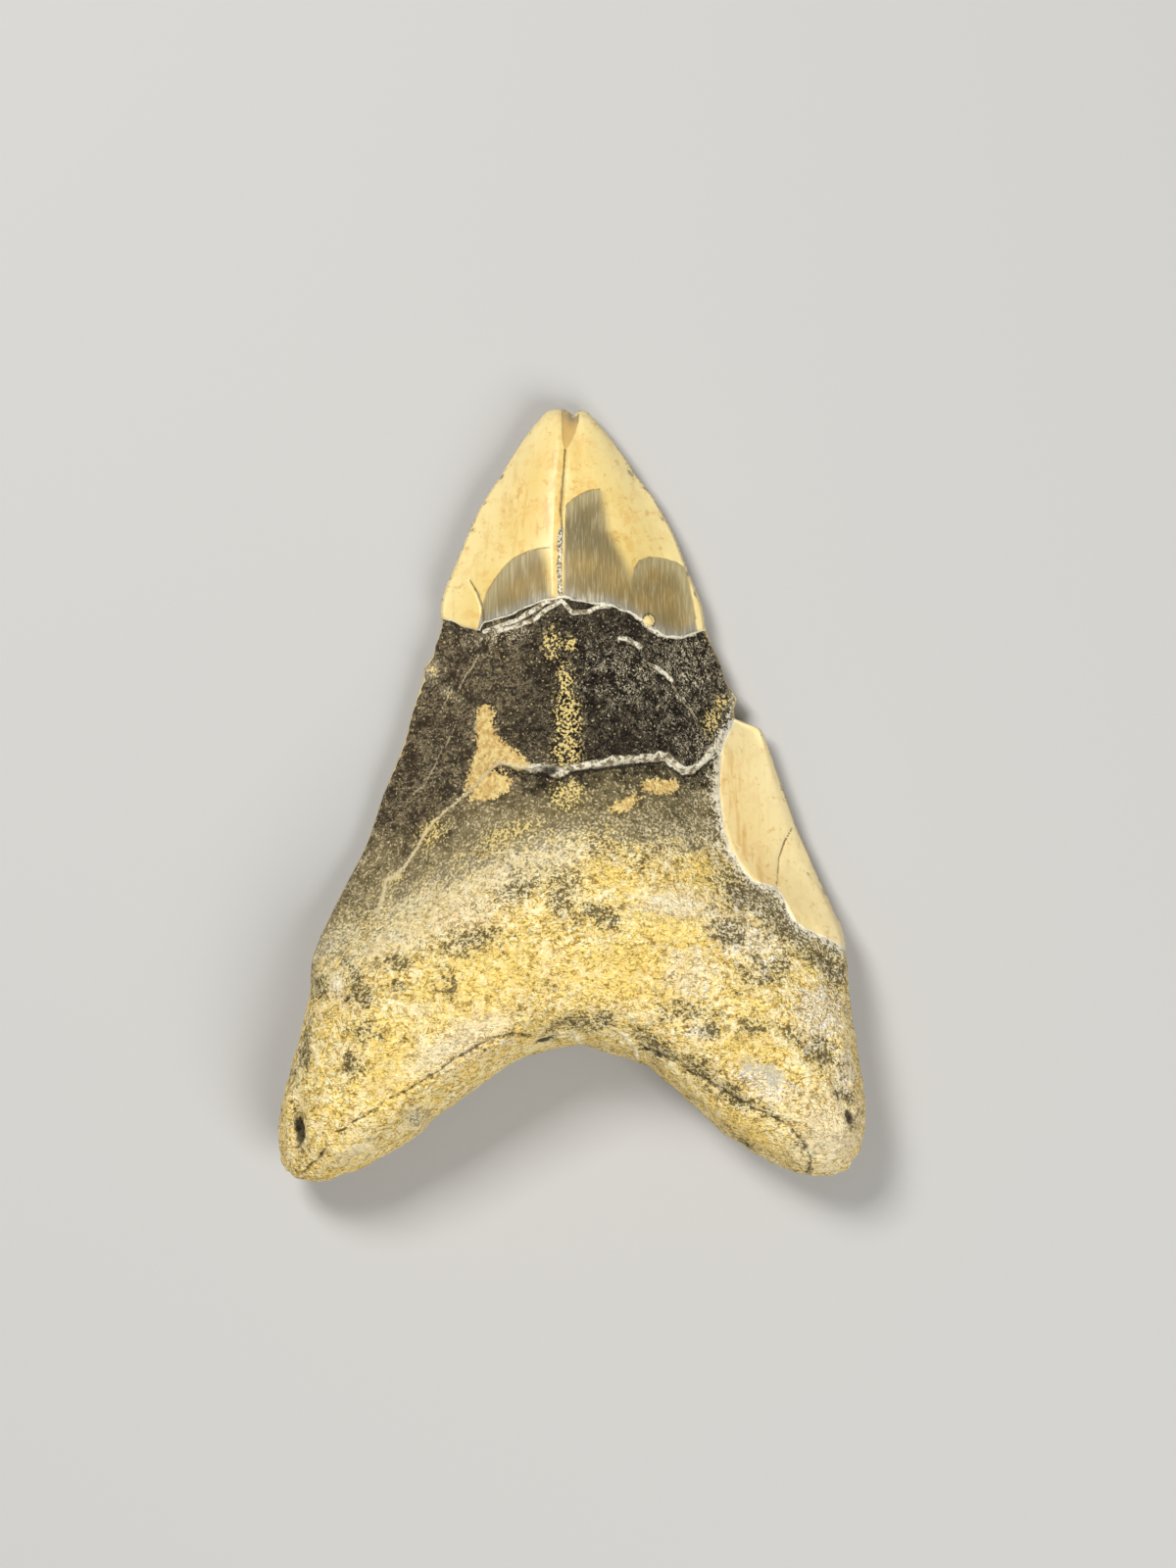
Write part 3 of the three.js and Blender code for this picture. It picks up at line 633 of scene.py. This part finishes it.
# %% [markdown]
# ## The cutting edges
#
# Such a tooth has a serrated edge wherever its enamel is whole, with about eleven small rounded points to
# the centimetre. They are cut inwards by a wave along the edge that fades with the distance from the rim.
# Where the enamel is gone, the edge is ragged instead, with two small knobs left on it.

# %% Serrations, then move every vertex
SERRATION_PITCH = 0.87
SERRATION_DEPTH = 0.2
EDGE_SLANT = 1.13  # length along the cutting edge for each mm up the tooth
KNOBS = [(744, 712, 0.9, 1.0, 0), (439, 684, 0.8, 0.9, 0)]

wave = np.cos(2 * np.pi * places[:, 1] * EDGE_SLANT / SERRATION_PITCH + 2.0 * noise(places, 6.0, 61))
uneven = 0.75 + 0.5 * noise(places, 2.5, 67)
notch = SERRATION_DEPTH * (wave * 0.5 - 0.5) * uneven * is_serrated(places) * ridge(rim_distance, 0.35)
moved = places + normals * height[:, None]
ragged = 0.45 * noise(places, 2.6, 71) * ridge(rim_distance, 0.9) * on_dentine
knob = 0.9 * spots(KNOBS, places)
moved[:, 0] += (notch * 0.9 + ragged + knob) * np.sign(places[:, 0])
moved[:, 1] += notch * 0.4
lowest, highest = (np.array(corner) / MM for corner in cad_box)
moved = np.clip(moved, lowest, highest)
tooth.data.vertices.foreach_set("co", (moved * MM).astype(np.float32).ravel())
tooth.data.update()
tooth.vertex_groups.clear()
bpy.ops.object.shade_smooth()
print("serrations, mm deep:", -notch.min().round(2))

# %% [markdown]
# ## Fields for the material
#
# A material can't measure distances along the tooth, so it is handed them: each field is stored on the mesh
# as an attribute, one number at every vertex. The soft ones are spots read off the photograph, such as the
# rusty tint in the spalls, the dusty haze along the root's arch and the dark stain on the lobes.

# %% Soft marks on the enamel
ENAMEL_MARKS = {
    "rust": [
        (666, 585, 2.8, 1.8, 12), (684, 612, 2, 2.8, 35), (700, 634, 1.6, 2.4, 25), (548, 588, 1.8, 2.6, -15),
        (528, 600, 2.6, 1.8, 20), (596, 578, 3.6, 2, 0), (632, 592, 2.6, 2.6, 20), (655, 618, 3, 2, 0),
        (583, 606, 1.2, 0.6, 0),
    ],
    "streaked": [
        (548, 520, 4.6, 8, 0), (748, 815, 1.8, 8, 4), (764, 865, 2.4, 6, 22), (778, 900, 2.6, 4, 30),
        (560, 470, 2.6, 3, 0),
    ],
    "dusky": [
        (592, 545, 2.8, 4.4, 10), (608, 556, 2, 2.4, 0), (686, 574, 3.6, 0.9, -12), (703, 600, 0.8, 4.4, 14),
    ],
    # The notch at the tip, where the scar is painted grey as its shadow.
    "notch": [(586, 422, 1.2, 1.6, 0)],
}
print("marks on the enamel:", ", ".join(ENAMEL_MARKS))

# %% [markdown]
# The ground has more of them. Pale specks lie thickest along the right side, a speckled streak runs down the
# middle, and the lobes have dark stains and chalky places. The deepest dents are painted near black as shade.

# %% Soft marks on dentine and root
BLACK_DEPTH = 0.6  # mm, from which a dent is painted near black as shade
GROUND_MARKS = {
    "specks": [
        (728, 810, 3, 9, 0), (740, 868, 2.6, 5, -30), (715, 760, 5, 4, 30), (700, 690, 6, 9, 0),
        (640, 690, 6, 4.5, 0), (742, 862, 2.2, 5, -25), (790, 915, 7, 1.8, -25), (838, 965, 5, 1.8, -40),
        (510, 650, 5, 1.4, 15), (690, 850, 7, 3, 0),
    ],
    "streak": [
        (564, 658, 1.6, 2.6, 0), (582, 659, 1, 1.4, 0), (577, 697, 1.4, 3.4, 0), (579, 735, 2.2, 5, 0),
        (578, 765, 2.4, 3, 0), (579, 812, 2.9, 2.6, 0), (563, 862, 0.6, 3.4, 0), (440, 850, 3, 2, 45),
        (520, 850, 5, 1.4, 20), (727, 735, 1.6, 2.6, -15), (735, 718, 1, 1.4, 0), (444, 684, 0.6, 1, 0),
        (404, 896, 1.6, 0.8, 20), (461, 710, 1.2, 0.4, -35),
    ],
    "haze": [
        (748, 713, 0.9, 1.5, 0), (441, 685, 0.9, 1.3, 0), (460, 709, 1.6, 0.45, -35), (850, 1165, 3.4, 3.4, 0),
        (345, 962, 5, 2, 30), (430, 918, 8, 2.2, 30), (520, 884, 7, 2.4, 18), (560, 872, 6, 3, 15),
        (470, 905, 7, 2.4, 28), (400, 955, 7, 2.4, 30), (690, 922, 6, 2.4, -10), (345, 1001, 1.4, 2.6, 0),
        (365, 1170, 4, 1.6, 25), (430, 1027, 1.8, 1.2, 0), (425, 1138, 1.8, 1.6, 0), (450, 1070, 9, 1.2, 33),
    ],
    "gold": [
        (622, 892, 6.2, 2, -25), (712, 885, 3, 2.4, 0), (650, 990, 14, 5, 0), (500, 1000, 12, 6, 20),
        (690, 950, 8, 4, -20), (760, 1065, 4, 2.4, -20), (400, 1085, 5, 8, 0), (660, 1090, 8, 1.6, -30),
        (760, 1150, 6, 1.6, -38), (350, 1200, 9, 2, 20),
    ],
    "stain": [
        (752, 908, 3.9, 1.82, -40), (800, 945, 5.2, 2.08, -40), (838, 975, 3.9, 1.82, -40),
        (585, 1040, 3.9, 1.3, 0), (655, 1056, 3.38, 1.3, -40), (478, 958, 6.5, 2.21, 12),
        (411, 983, 2.6, 1.69, 0), (459, 1004, 2.86, 3.12, 0), (380, 1050, 3.38, 2.08, 0),
        (362, 1084, 2.34, 2.86, 0), (372, 1016, 1.82, 1.82, 0), (364, 998, 1.17, 2.34, 0),
        (409, 1003, 1.17, 1.3, 0), (406, 1064, 3.9, 0.78, 35), (324, 1006, 1.82, 2.08, 0),
        (308, 1075, 1.69, 7.28, -8), (307, 1152, 1.17, 4.42, 4), (426, 1138, 2.34, 1.95, 40),
        (612, 929, 4.68, 1.95, -30), (575, 912, 2.86, 3.9, 0), (530, 905, 4.68, 2.08, 30),
        (740, 952, 3.9, 2.08, -15), (778, 914, 5.2, 1.56, -22), (778, 986, 4.42, 3.12, 0),
        (850, 985, 1.82, 4.16, 8), (706, 1031, 5.2, 2.08, 10), (716, 1049, 2.6, 1.56, 0),
        (757, 1044, 3.12, 1.82, 0), (808, 1057, 3.38, 1.56, -38), (840, 1076, 3.12, 2.86, 0),
        (857, 1112, 1.56, 4.42, 18), (866, 1138, 1.56, 2.6, 20), (819, 1169, 3.64, 2.6, -30),
        (824, 1191, 0.78, 1.56, 0), (673, 1070, 4.42, 1.3, -18), (711, 1091, 4.16, 2.08, -35),
        (750, 1119, 5.46, 1.56, -32), (787, 1136, 3.64, 1.82, -20), (759, 1167, 2.34, 0.91, -35),
        (616, 1038, 2.6, 1.82, 0), (562, 1056, 1.82, 2.34, 0), (558, 1070, 3.38, 0.78, 20),
    ],
    "chalk": [
        (346, 1002, 1.2, 2, 0), (515, 1060, 0.8, 0.6, 30), (808, 950, 4, 1.4, -42), (845, 985, 3, 1.6, -40),
        (728, 830, 1.8, 8, 0), (775, 922, 5.5, 2.2, -25), (684, 922, 5.4, 2, -8), (835, 1035, 4.6, 6, 0),
        (760, 960, 8, 4, -30), (860, 1090, 2, 5, 0), (716, 1049, 2.8, 1.6, 0), (700, 990, 5, 5, 0),
        (780, 1105, 5, 2.6, -30),
    ],
    "pale_spot": [(775, 1090, 4.4, 2.4, -25)],
    "beige": [(845, 1150, 6, 7, 0), (480, 930, 9, 2.6, 25), (470, 1060, 9, 3, 30)],
    # The deepest dents, painted near black as shade.
    "deep": [mark for *mark, depth in DENTS if depth >= BLACK_DEPTH],
}
print("marks on the ground:", ", ".join(GROUND_MARKS))


# %% [markdown]
# Every mark belongs to the lingual face alone and fades where the surface turns down. The distances go along
# unchanged.

# %% Store the fields
def store(name, values):
    """Keeps one number for each vertex under a name that the material can read."""
    attribute = tooth.data.attributes.new(name, "FLOAT", "POINT")
    attribute.data.foreach_set("value", np.asarray(values, np.float32))


faces_up = smoothstep(0.0, 0.35, normals[:, 2])
for name, marks in {**ENAMEL_MARKS, **GROUND_MARKS}.items():
    store(name, spots(marks, places) * faces_up)
store("spalled", spalled * faces_up)
store("nick", spots(NICKS, places))
store("bead", smoothstep(BEAD_RADIUS + 0.4, BEAD_RADIUS, distance_to_bead(places)) * lingual)
distances.update(enamel=enamel, leaf=leaf, root=root, scar=scar, ochre=ochre, rim=rim_distance)
for name, values in distances.items():
    store(name, values)
print("distances:", ", ".join(distances))

# %% [markdown]
# ## Writing a material as arithmetic
#
# A material is a tree of nodes, and a tree with hundreds of them is hard to read as code. A small class wraps
# one output of a node and gives it the usual operators, so `1 - mask * 0.5` adds the Math nodes by itself.
# Colours go through Mix nodes, because a Math node would turn them grey. A finish is built up in layers,
# each one a mask and the colour that it lays over the ones before.


# %% A class for a socket and one for a finish
class Value:
    """One output of a node, which can be added, multiplied and compared."""

    def __init__(self, finish, socket):
        self.finish = finish
        self.socket = socket

    def math(self, operation, first, second):
        return self.finish.node("ShaderNodeMath", {"operation": operation}, {0: first, 1: second})

    def __add__(self, other):
        return self.math("ADD", self, other)

    def __sub__(self, other):
        return self.math("SUBTRACT", self, other)

    def __rsub__(self, other):
        return self.math("SUBTRACT", other, self)

    def __mul__(self, other):
        return self.math("MULTIPLY", self, other)

    def __abs__(self):
        return self.math("ABSOLUTE", self, 0.0)

    __radd__ = __add__
    __rmul__ = __mul__

    def rise(self, low, high):
        """0 below low, 1 above high and a smooth rise between."""
        limits = {"Value": self, "From Min": low, "From Max": high}
        return self.finish.node("ShaderNodeMapRange", {"interpolation_type": "SMOOTHSTEP"}, limits)

    def fall(self, low, high):
        """1 below low, 0 above high and a smooth fall between."""
        return 1 - self.rise(low, high)

    def coats(self, *layers):
        """This colour with others over it: each layer is a mask and a colour."""
        colour = self
        for mask, coat in layers:
            colour = self.finish.mix(mask, colour, coat)
        return colour


class Finish:
    """A material and the tree of nodes that it is made of."""

    def __init__(self, name):
        self.material = bpy.data.materials.new(name)
        self.material.use_nodes = True
        self.tree = self.material.node_tree
        self.tree.nodes.clear()

    def node(self, kind, settings, values, output=0):
        """Adds a node: its settings first, then a value or a link for each socket."""
        node = self.tree.nodes.new(kind)
        for name, value in settings.items():
            setattr(node, name, value)
        for name, value in values.items():
            if isinstance(value, Value):
                self.tree.links.new(value.socket, node.inputs[name])
            else:
                node.inputs[name].default_value = value
        return Value(self, node.outputs[output]) if node.outputs else None

    def tell(self, step):
        print(step, "done,", len(self.tree.nodes), "nodes")

    def field(self, name):
        return self.node("ShaderNodeAttribute", {"attribute_name": name}, {}, "Fac")

    def mix(self, factor, *colours):
        """A colour between two, by a factor. Three numbers are a colour as it is on a screen."""
        first, second = (paint(*colour) if isinstance(colour, tuple) else colour for colour in colours)
        return self.node("ShaderNodeMix", {"data_type": "RGBA"}, {0: factor, 6: first, 7: second}, 2)

    def bump(self, height, strength, depth):
        """Normals for a relief too fine for the mesh, depth mm deep at most."""
        return self.node("ShaderNodeBump", {}, {"Strength": strength, "Distance": depth * MM, "Height": height})

    def shader(self, colour, roughness, others={}):
        values = {"Base Color": colour, "Roughness": roughness, **others}
        return self.node("ShaderNodeBsdfPrincipled", {}, values)

    def noise(self, where, size, detail=3.0, roughness=0.6, stretch=(1.0, 1.0, 1.0), swirl=0.0):
        """Noise with lumps about size mm across, drawn out along an axis where stretch is small."""
        scale = tuple(part / MM / size for part in stretch)
        stretched = self.node("ShaderNodeVectorMath", {"operation": "MULTIPLY"}, {0: where, 1: scale})
        values = {"Vector": stretched, "Scale": 1.0, "Detail": detail, "Roughness": roughness}
        return self.node("ShaderNodeTexNoise", {}, {**values, "Distortion": swirl})

    def wrinkles(self, noise, width):
        """Thin lines that wander about: 1 where the noise passes through its middle value."""
        return abs(noise - 0.5).fall(width * 0.3, width)


def paint(*screen):
    """A colour given as on a screen, from 0 to 255, as the linear colour that a shader needs."""
    parts = (part / 255 for part in screen)
    return (*(part / 12.92 if part <= 0.04045 else ((part + 0.055) / 1.055) ** 2.4 for part in parts), 1.0)


# %% [markdown]
# All the colours share a few noises. The broad one makes patches a finger wide, the crust one patches of a
# few millimetres, and the grain and the grit are as fine as sand. Thin wandering wrinkles lie where a fine
# noise passes through its middle value. The folds are the skin's fine relief: a painted highlight lightens
# their crests and painted shade darkens their valleys.

# %% Noises that the finish shares
fossil = Finish("fossil_tooth")
field, mix = fossil.field, fossil.mix
here = fossil.node("ShaderNodeTexCoord", {}, {}, "Object")
broad = fossil.noise(here, 7.0, roughness=0.55)
crust = fossil.noise(here, 2.4, detail=4.0, roughness=0.65)
grain = fossil.noise(here, 0.9, detail=4.0, roughness=0.7)
grit = fossil.noise(here, 0.4, detail=2.0, roughness=0.5)
worm = fossil.noise(here, 0.95, swirl=1.2)
thread = fossil.noise(here, 0.8, detail=1.0, roughness=0.5, stretch=(1.2, 0.8, 1.0), swirl=1.4)
ripple = fossil.noise(here, 0.8, detail=2.0, roughness=0.55, stretch=(0.5, 1.3, 1.0), swirl=0.6)
folds = worm * 0.6 + grain * 0.4
# Painted highlight on the crests of the folds, and painted shade in their valleys.
crest_highlight = folds.rise(0.51, 0.6)
valley_shade = folds.fall(0.41, 0.48)


def grainy(name, shake):
    """A field whose borders the grain breaks up."""
    return field(name) + (grain - 0.5) * shake


print("material:", fossil.material.name)

# %% [markdown]
# ## Dentine
#
# Dentine is the body of the crown. Lying in dark mud turned it brown-black. Its surface is leathery, with
# pale wandering wrinkles, partly chalk and partly painted glints off the relief, that are faint and rippled
# on the left and thick and chalky on the right.

# %% Dentine's colour
specks = field("specks")
root_level = field("root") + (broad - 0.5) * 14.0 + (crust - 0.5) * 16.0 + (grain - 0.5) * 10.0
near_root = root_level.rise(-15.0, -1.0)
left_side = fossil.node("ShaderNodeSeparateXYZ", {}, {0: here}).rise(2.0 * MM, -16.0 * MM)
leather = grain * 0.35 + grit * 0.35 + ripple * 0.3
pale_leather = leather.rise(0.54, 0.6) * (0.06 + left_side * 0.34 + near_root * 0.5)
ripples = fossil.wrinkles(ripple, 0.07) * (0.2 + left_side * 0.8) * crust.rise(0.35, 0.6)
pale_lines = fossil.wrinkles(thread, 0.034) * (0.15 + specks * 0.85) * crust.rise(0.4, 0.54)
pale_grit = (grit + specks * 0.05 + near_root * 0.12).rise(0.64, 0.71)
dentine = mix(leather.rise(0.44, 0.56), (11, 8, 4), (42, 32, 20)).coats(
    (left_side * 0.35, (86, 72, 52)),
    (near_root * 0.58, (166, 148, 98)),
    (pale_leather, (200, 178, 126)),
    # Painted shade in the valleys near the root.
    (valley_shade * near_root * 0.55, (52, 44, 30)),
    # The pale wrinkles are partly chalk and partly painted glints off the leathery relief.
    (ripples * 0.5, (168, 150, 112)),
    (pale_lines, (226, 212, 180)),
    (pale_grit * 0.6, (216, 202, 164)),
)
fossil.tell("dentine")

# %% [markdown]
# ## The root
#
# The root is ochre from iron in the ground, with golden crusts and beige flats. Its skin is wrinkled too,
# here with thin dark lines. Its dips are darkened with painted shade, olive-dark where stain lies, and its
# crests lightened with a painted highlight. The right side has lost its crust in places and is chalky there.
# Speckled borders come from adding the grain to a soft mark before its step.

# %% The root's colour
beige = field("beige")
crusty = crust + field("gold") * 0.08 - beige * 0.06
chalky = (field("chalk") + (crust - 0.5) * 2.4 + (grain - 0.5) * 1.6).rise(0.44, 0.64)
smooth_grey = field("pale_spot").rise(0.3, 0.7) * crusty.fall(0.52, 0.6)
by_dentine = root_level.fall(0.0, 9.0)
dirt = field("stain") * 0.75 + by_dentine * 0.35 + (crust - 0.5) * 2.0 + (broad - 0.5) * 1.4 - beige * 0.3
dirt = dirt.rise(0.05, 1.0) * (1 - smooth_grey)
# How strong the painted shade in the valleys and the dark cracks are, a little more where it is dirty.
shade_and_crack_strength = (0.65 + dirt * 0.2) * (1 - smooth_grey)
valley_shade_colour = mix(dirt * 0.8 + chalky * 0.4, (136, 100, 42), (84, 72, 46))
speckled = (grit * 0.55 + grain * 0.45 - dirt * 0.09).fall(0.4, 0.45) * dirt.rise(0.0, 0.5)
cracked = fossil.wrinkles(ripple, 0.035) * crust.rise(0.36, 0.5)
stone = mix(broad.rise(0.4, 0.62), (254, 230, 164), (246, 218, 156)).coats(
    (crusty.rise(0.42, 0.54) * 0.8, (255, 217, 112)),
    (beige * 0.6, (252, 230, 186)),
    # Painted highlight on the crests of the folds, which brightens the chalk on them too.
    (crest_highlight * 0.8, (255, 248, 206)),
    (chalky * (0.35 + crest_highlight * 0.6), (252, 246, 232)),
    (smooth_grey * 0.8, (196, 190, 170)),
    (dirt * 0.55, (194, 182, 136)),
    # Painted shade in the valleys of the folds, olive-dark where it is dirty.
    (folds.fall(0.415, 0.47) * shade_and_crack_strength, valley_shade_colour),
    (speckled * 0.85, (82, 74, 50)),
    (cracked * shade_and_crack_strength, (100, 80, 38)),
    (fossil.wrinkles(thread, 0.022) * (0.3 + dirt * 0.4), (110, 90, 48)),
    (grainy("groove", 1.6).fall(0.0, 0.35) * 0.85, (66, 56, 34)),
    # Painted highlight: a pale line along the base's raised ridges, on faces that look up.
    (grainy("ridge", 1.0).fall(0.0, 0.4) * 0.8, (255, 246, 212)),
)
fossil.tell("root")

# %% [markdown]
# ## Where dentine passes into root, and what lies on both
#
# There is no line between the two: for a centimetre the dark breaks up into islands. The distance from the
# root's arch is shaken by coarse and fine noises, which makes the islands. A dusty haze lies along the arch,
# ochre sediment in patches and in a streak down the middle, and golden dust where the root's crusts begin.

# %% The bare ground of the tooth
shaken_root = root_level + (grit - 0.5) * 8.0 + (worm - 0.5) * 8.0
is_root = shaken_root.rise(-3.0, 1.0)
ochre_edge = grainy("ochre", 2.4) + (grit - 0.5) * 2.4
ochre_colour = mix(grain.rise(0.42, 0.6), (200, 162, 96), (230, 206, 138))
streak = field("streak")
streaky = (grain * 0.35 + grit * 0.65 + streak * 0.08).rise(0.54, 0.6) * streak.rise(0.05, 0.7)
golden_dust = (grain + field("gold") * 0.14).rise(0.56, 0.64) * field("gold").rise(0.2, 0.6)
ground = mix(is_root, dentine, stone).coats(
    (field("haze") * (0.2 + grit.rise(0.44, 0.56) * 0.55), (236, 222, 184)),
    (ochre_edge.rise(-0.25, 0.25), ochre_colour),
    (streaky * 0.9, (230, 204, 130)),
    (golden_dust * 0.4, (246, 208, 104)),
)
fossil.tell("ground")

# %% [markdown]
# Sediment as pale as chalk has set in the vein, the cracks and along the broken border of the cap. It is
# grainy, so a fine noise eats into each line's border. The band under the vein and the deepest dents are
# painted near black as shade.

# %% Pale sediment, and painted shade under the vein and in the deepest dents
chalk_colour = mix(grain.rise(0.4, 0.54), (128, 112, 82), (238, 230, 204))
vein_edge = grainy("vein", 1.2) + (crust - 0.5) * 1.2
fine_vein_edge = grainy("fine_vein", 1.2) + (grit - 0.5) * 0.8
by_the_leaf = grainy("leaf", 5.0) + (grit - 0.5) * 4.0
dentine_rim = grainy("rim", 1.0).fall(0.15, 0.5) * field("root").fall(-6.0, 0.0)
ground = ground.coats(
    # Painted shadow: a near-black band under the vein, where its undercut lies in shade.
    (grainy("under_vein", 0.8).fall(0.15, 0.5) * 0.75, (22, 17, 11)),
    (vein_edge.fall(0.48, 0.75) * 0.95, chalk_colour),
    (fine_vein_edge.fall(0.12, 0.3) * 0.9, (222, 204, 160)),
    (grainy("hairline", 0.9).fall(0.04, 0.18) * 0.65, (190, 176, 140)),
    (grainy("lip", 0.6).fall(0.26, 0.44) * 0.95, chalk_colour),
    (by_the_leaf.rise(-1.2, -0.4) * 0.85, (226, 218, 194)),
    (dentine_rim * 0.75, (190, 164, 108)),
    # Painted shade: the deepest dents are coloured near black.
    (grainy("deep", 1.0).rise(0.4, 0.75) * 0.9, (30, 25, 16)),
)
fossil.tell("sediment")

# %% [markdown]
# ## Enamel
#
# The enamel is cream, with a painted highlight towards the cutting edges, tan streaks along the growth
# direction and a few rusty specks. The fibres of its inner layer are a noise drawn out along the tooth.

# %% Enamel's colour
streaks = fossil.noise(here, 0.9, stretch=(1.0, 0.06, 0.4))
fibres = fossil.noise(here, 0.3, stretch=(1.0, 0.045, 0.3))
rust_specks = fossil.noise(here, 1.5, roughness=0.7)
streaked = field("streaked")
lined = streaks.rise(0.5, 0.66) * (0.1 + streaked * 0.5)
# Painted shadow: grey in the notch at the tip, over the scar's golden brown.
scar_colour = mix(field("notch"), (191, 154, 88), (117, 108, 83))
cream = mix(broad.rise(0.35, 0.65), (214, 189, 117), (219, 196, 129)).coats(
    (crust.rise(0.5, 0.64) * 0.75, (208, 170, 96)),
    # Painted highlight: lighter towards the cutting edges.
    (field("rim").fall(0.5, 6.0) * 0.45, (227, 212, 159)),
    (field("leaf").rise(-0.2, 0.2) * 0.4, (226, 209, 165)),
    (streaked * 0.25, (205, 163, 92)),
    (lined, (189, 145, 71)),
    (rust_specks.rise(0.56, 0.7) * 0.55, (189, 141, 64)),
    (grainy("scar", 0.3).rise(-0.05, 0.1) * 0.85, scar_colour),
)
fossil.tell("cream")

# %% [markdown]
# Where the enamel's skin has spalled off, the inner layer is grey and fibrous, with a rusty tint. Its colour
# follows the fans that sank it, sharp at the arcs and soft elsewhere. Towards the cap's border frayed pale
# fibres show how thick the sheet is.

# %% Spalls, cracks and broken borders
spalled = field("spalled")
frayed = (field("enamel") + (streaks - 0.5) * 2.0).fall(0.2, 2.4)
worn = mix(field("dusky"), (124, 108, 68), (112, 100, 66)).coats(
    (field("rust") * 0.55, (156, 128, 68)),
    (field("arc").fall(0.4, 3.0) * 0.6, (166, 152, 112)),
    (frayed * 0.85, (137, 133, 119)),
    (fibres.fall(0.38, 0.52) * 0.3, (99, 86, 53)),
    (fibres.rise(0.5, 0.66) * (0.18 + frayed * 0.3), (211, 200, 165)),
)
bead = field("bead")
wide_split_colour = mix(grit.rise(0.45, 0.55), (84, 75, 55), (196, 189, 169))
edge_nicks = (grainy("rim", 2.6) + (crust - 0.5) * 2.0).fall(-0.2, 0.05)
bright_border = grainy("enamel", 0.9).fall(0.05, 0.3) * (1 - bead)
cream = cream.coats(
    (spalled, worn),
    (bead.rise(0.05, 0.35), (77, 64, 40)),
    (bead.rise(0.5, 0.8), (218, 193, 129)),
    # Painted shade: a dark line along the arcs, where the spalls step down.
    (grainy("arc", 0.25).fall(0.06, 0.2) * 0.6, (103, 90, 57)),
    (grainy("split", 0.25).fall(0.06, 0.2) * 0.85, (88, 70, 36)),
    (grainy("wide_split", 0.6).fall(0.22, 0.45) * 0.9, wide_split_colour),
    (grainy("nick", 0.8).rise(0.3, 0.6) * 0.75, (129, 117, 88)),
    (edge_nicks * 0.7, (137, 123, 88)),
    (bright_border * 0.85, (220, 214, 194)),
)
fossil.tell("enamel")

# %% [markdown]
# ## The finish
#
# Both parts meet at the enamel's border. The enamel has a soft shine and the stone almost none, so each has
# a shader of its own, and a Mix Shader joins them. Grain too fine for the mesh goes through Bump nodes.

# %% Put the finish together
stone_height = folds * 0.7 + grain * 0.3 + grit * 0.45 - cracked * 0.08 * is_root
enamel_height = fibres * spalled * 0.35 + streaks * 0.08
stone_normal = fossil.bump(stone_height, 0.9, 1.4)
enamel_normal = fossil.bump(enamel_height, 0.6, 0.15)
bare = fossil.shader(ground, 0.65, {"Specular IOR Level": 0.15, "Normal": stone_normal})
polished = fossil.shader(cream, 0.34 + spalled * 0.25, {"Specular IOR Level": 0.4, "Normal": enamel_normal})
is_enamel = field("enamel").rise(-0.04, 0.04)
surface = fossil.node("ShaderNodeMixShader", {}, {0: is_enamel, 1: bare, 2: polished})
fossil.node("ShaderNodeOutputMaterial", {}, {"Surface": surface})
tooth.data.materials.append(fossil.material)
fossil.tell("finish")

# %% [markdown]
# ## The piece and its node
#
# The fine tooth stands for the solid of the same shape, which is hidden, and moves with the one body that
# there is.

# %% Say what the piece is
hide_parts("tooth")
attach(tooth, "root")
print("piece:", tooth.name)

# %% [markdown]
# ## The table and the light
#
# The table is a plain pale sheet, and the light is soft: one large lamp up and to the left, a weaker one
# opposite, and a pale sky. Soft light shows the colours as they are and still shades the relief.

# %% The table
TABLE_COLOUR = paint(172, 170, 166)
TABLE_SIZE = 4.0

bpy.ops.object.select_all(action="DESELECT")
bpy.ops.mesh.primitive_plane_add(size=TABLE_SIZE, location=(0.0, 0.0, 0.0))
table = bpy.context.active_object
table.name = "table"
sheet = Finish("pale_table")
sheet.node("ShaderNodeOutputMaterial", {}, {"Surface": sheet.shader(TABLE_COLOUR, 0.8)})
table.data.materials.append(sheet.material)
print("table:", TABLE_SIZE, "m across")


# %% The lamps and the sky
def soft_lamp(name, place, size, power):
    """A square area lamp that looks at the middle of the tooth."""
    lamp = bpy.data.lights.new(name, "AREA")
    lamp.size = size
    lamp.energy = power
    holder = bpy.data.objects.new(name, lamp)
    holder.location = place
    holder.rotation_mode = "QUATERNION"
    holder.rotation_quaternion = (-Vector(place)).to_track_quat("-Z", "Y")
    scene.collection.objects.link(holder)
    print("lamp:", name, power, "W")


soft_lamp("key", (-0.38, 0.45, 0.8), 0.3, 10.0)
soft_lamp("fill", (0.4, -0.5, 0.7), 0.6, 7.8)

world = bpy.data.worlds.new("pale_sky")
world.use_nodes = True
sky = world.node_tree.nodes["Background"].inputs
sky["Color"].default_value = paint(236, 238, 242)
sky["Strength"].default_value = 0.26
scene.world = world
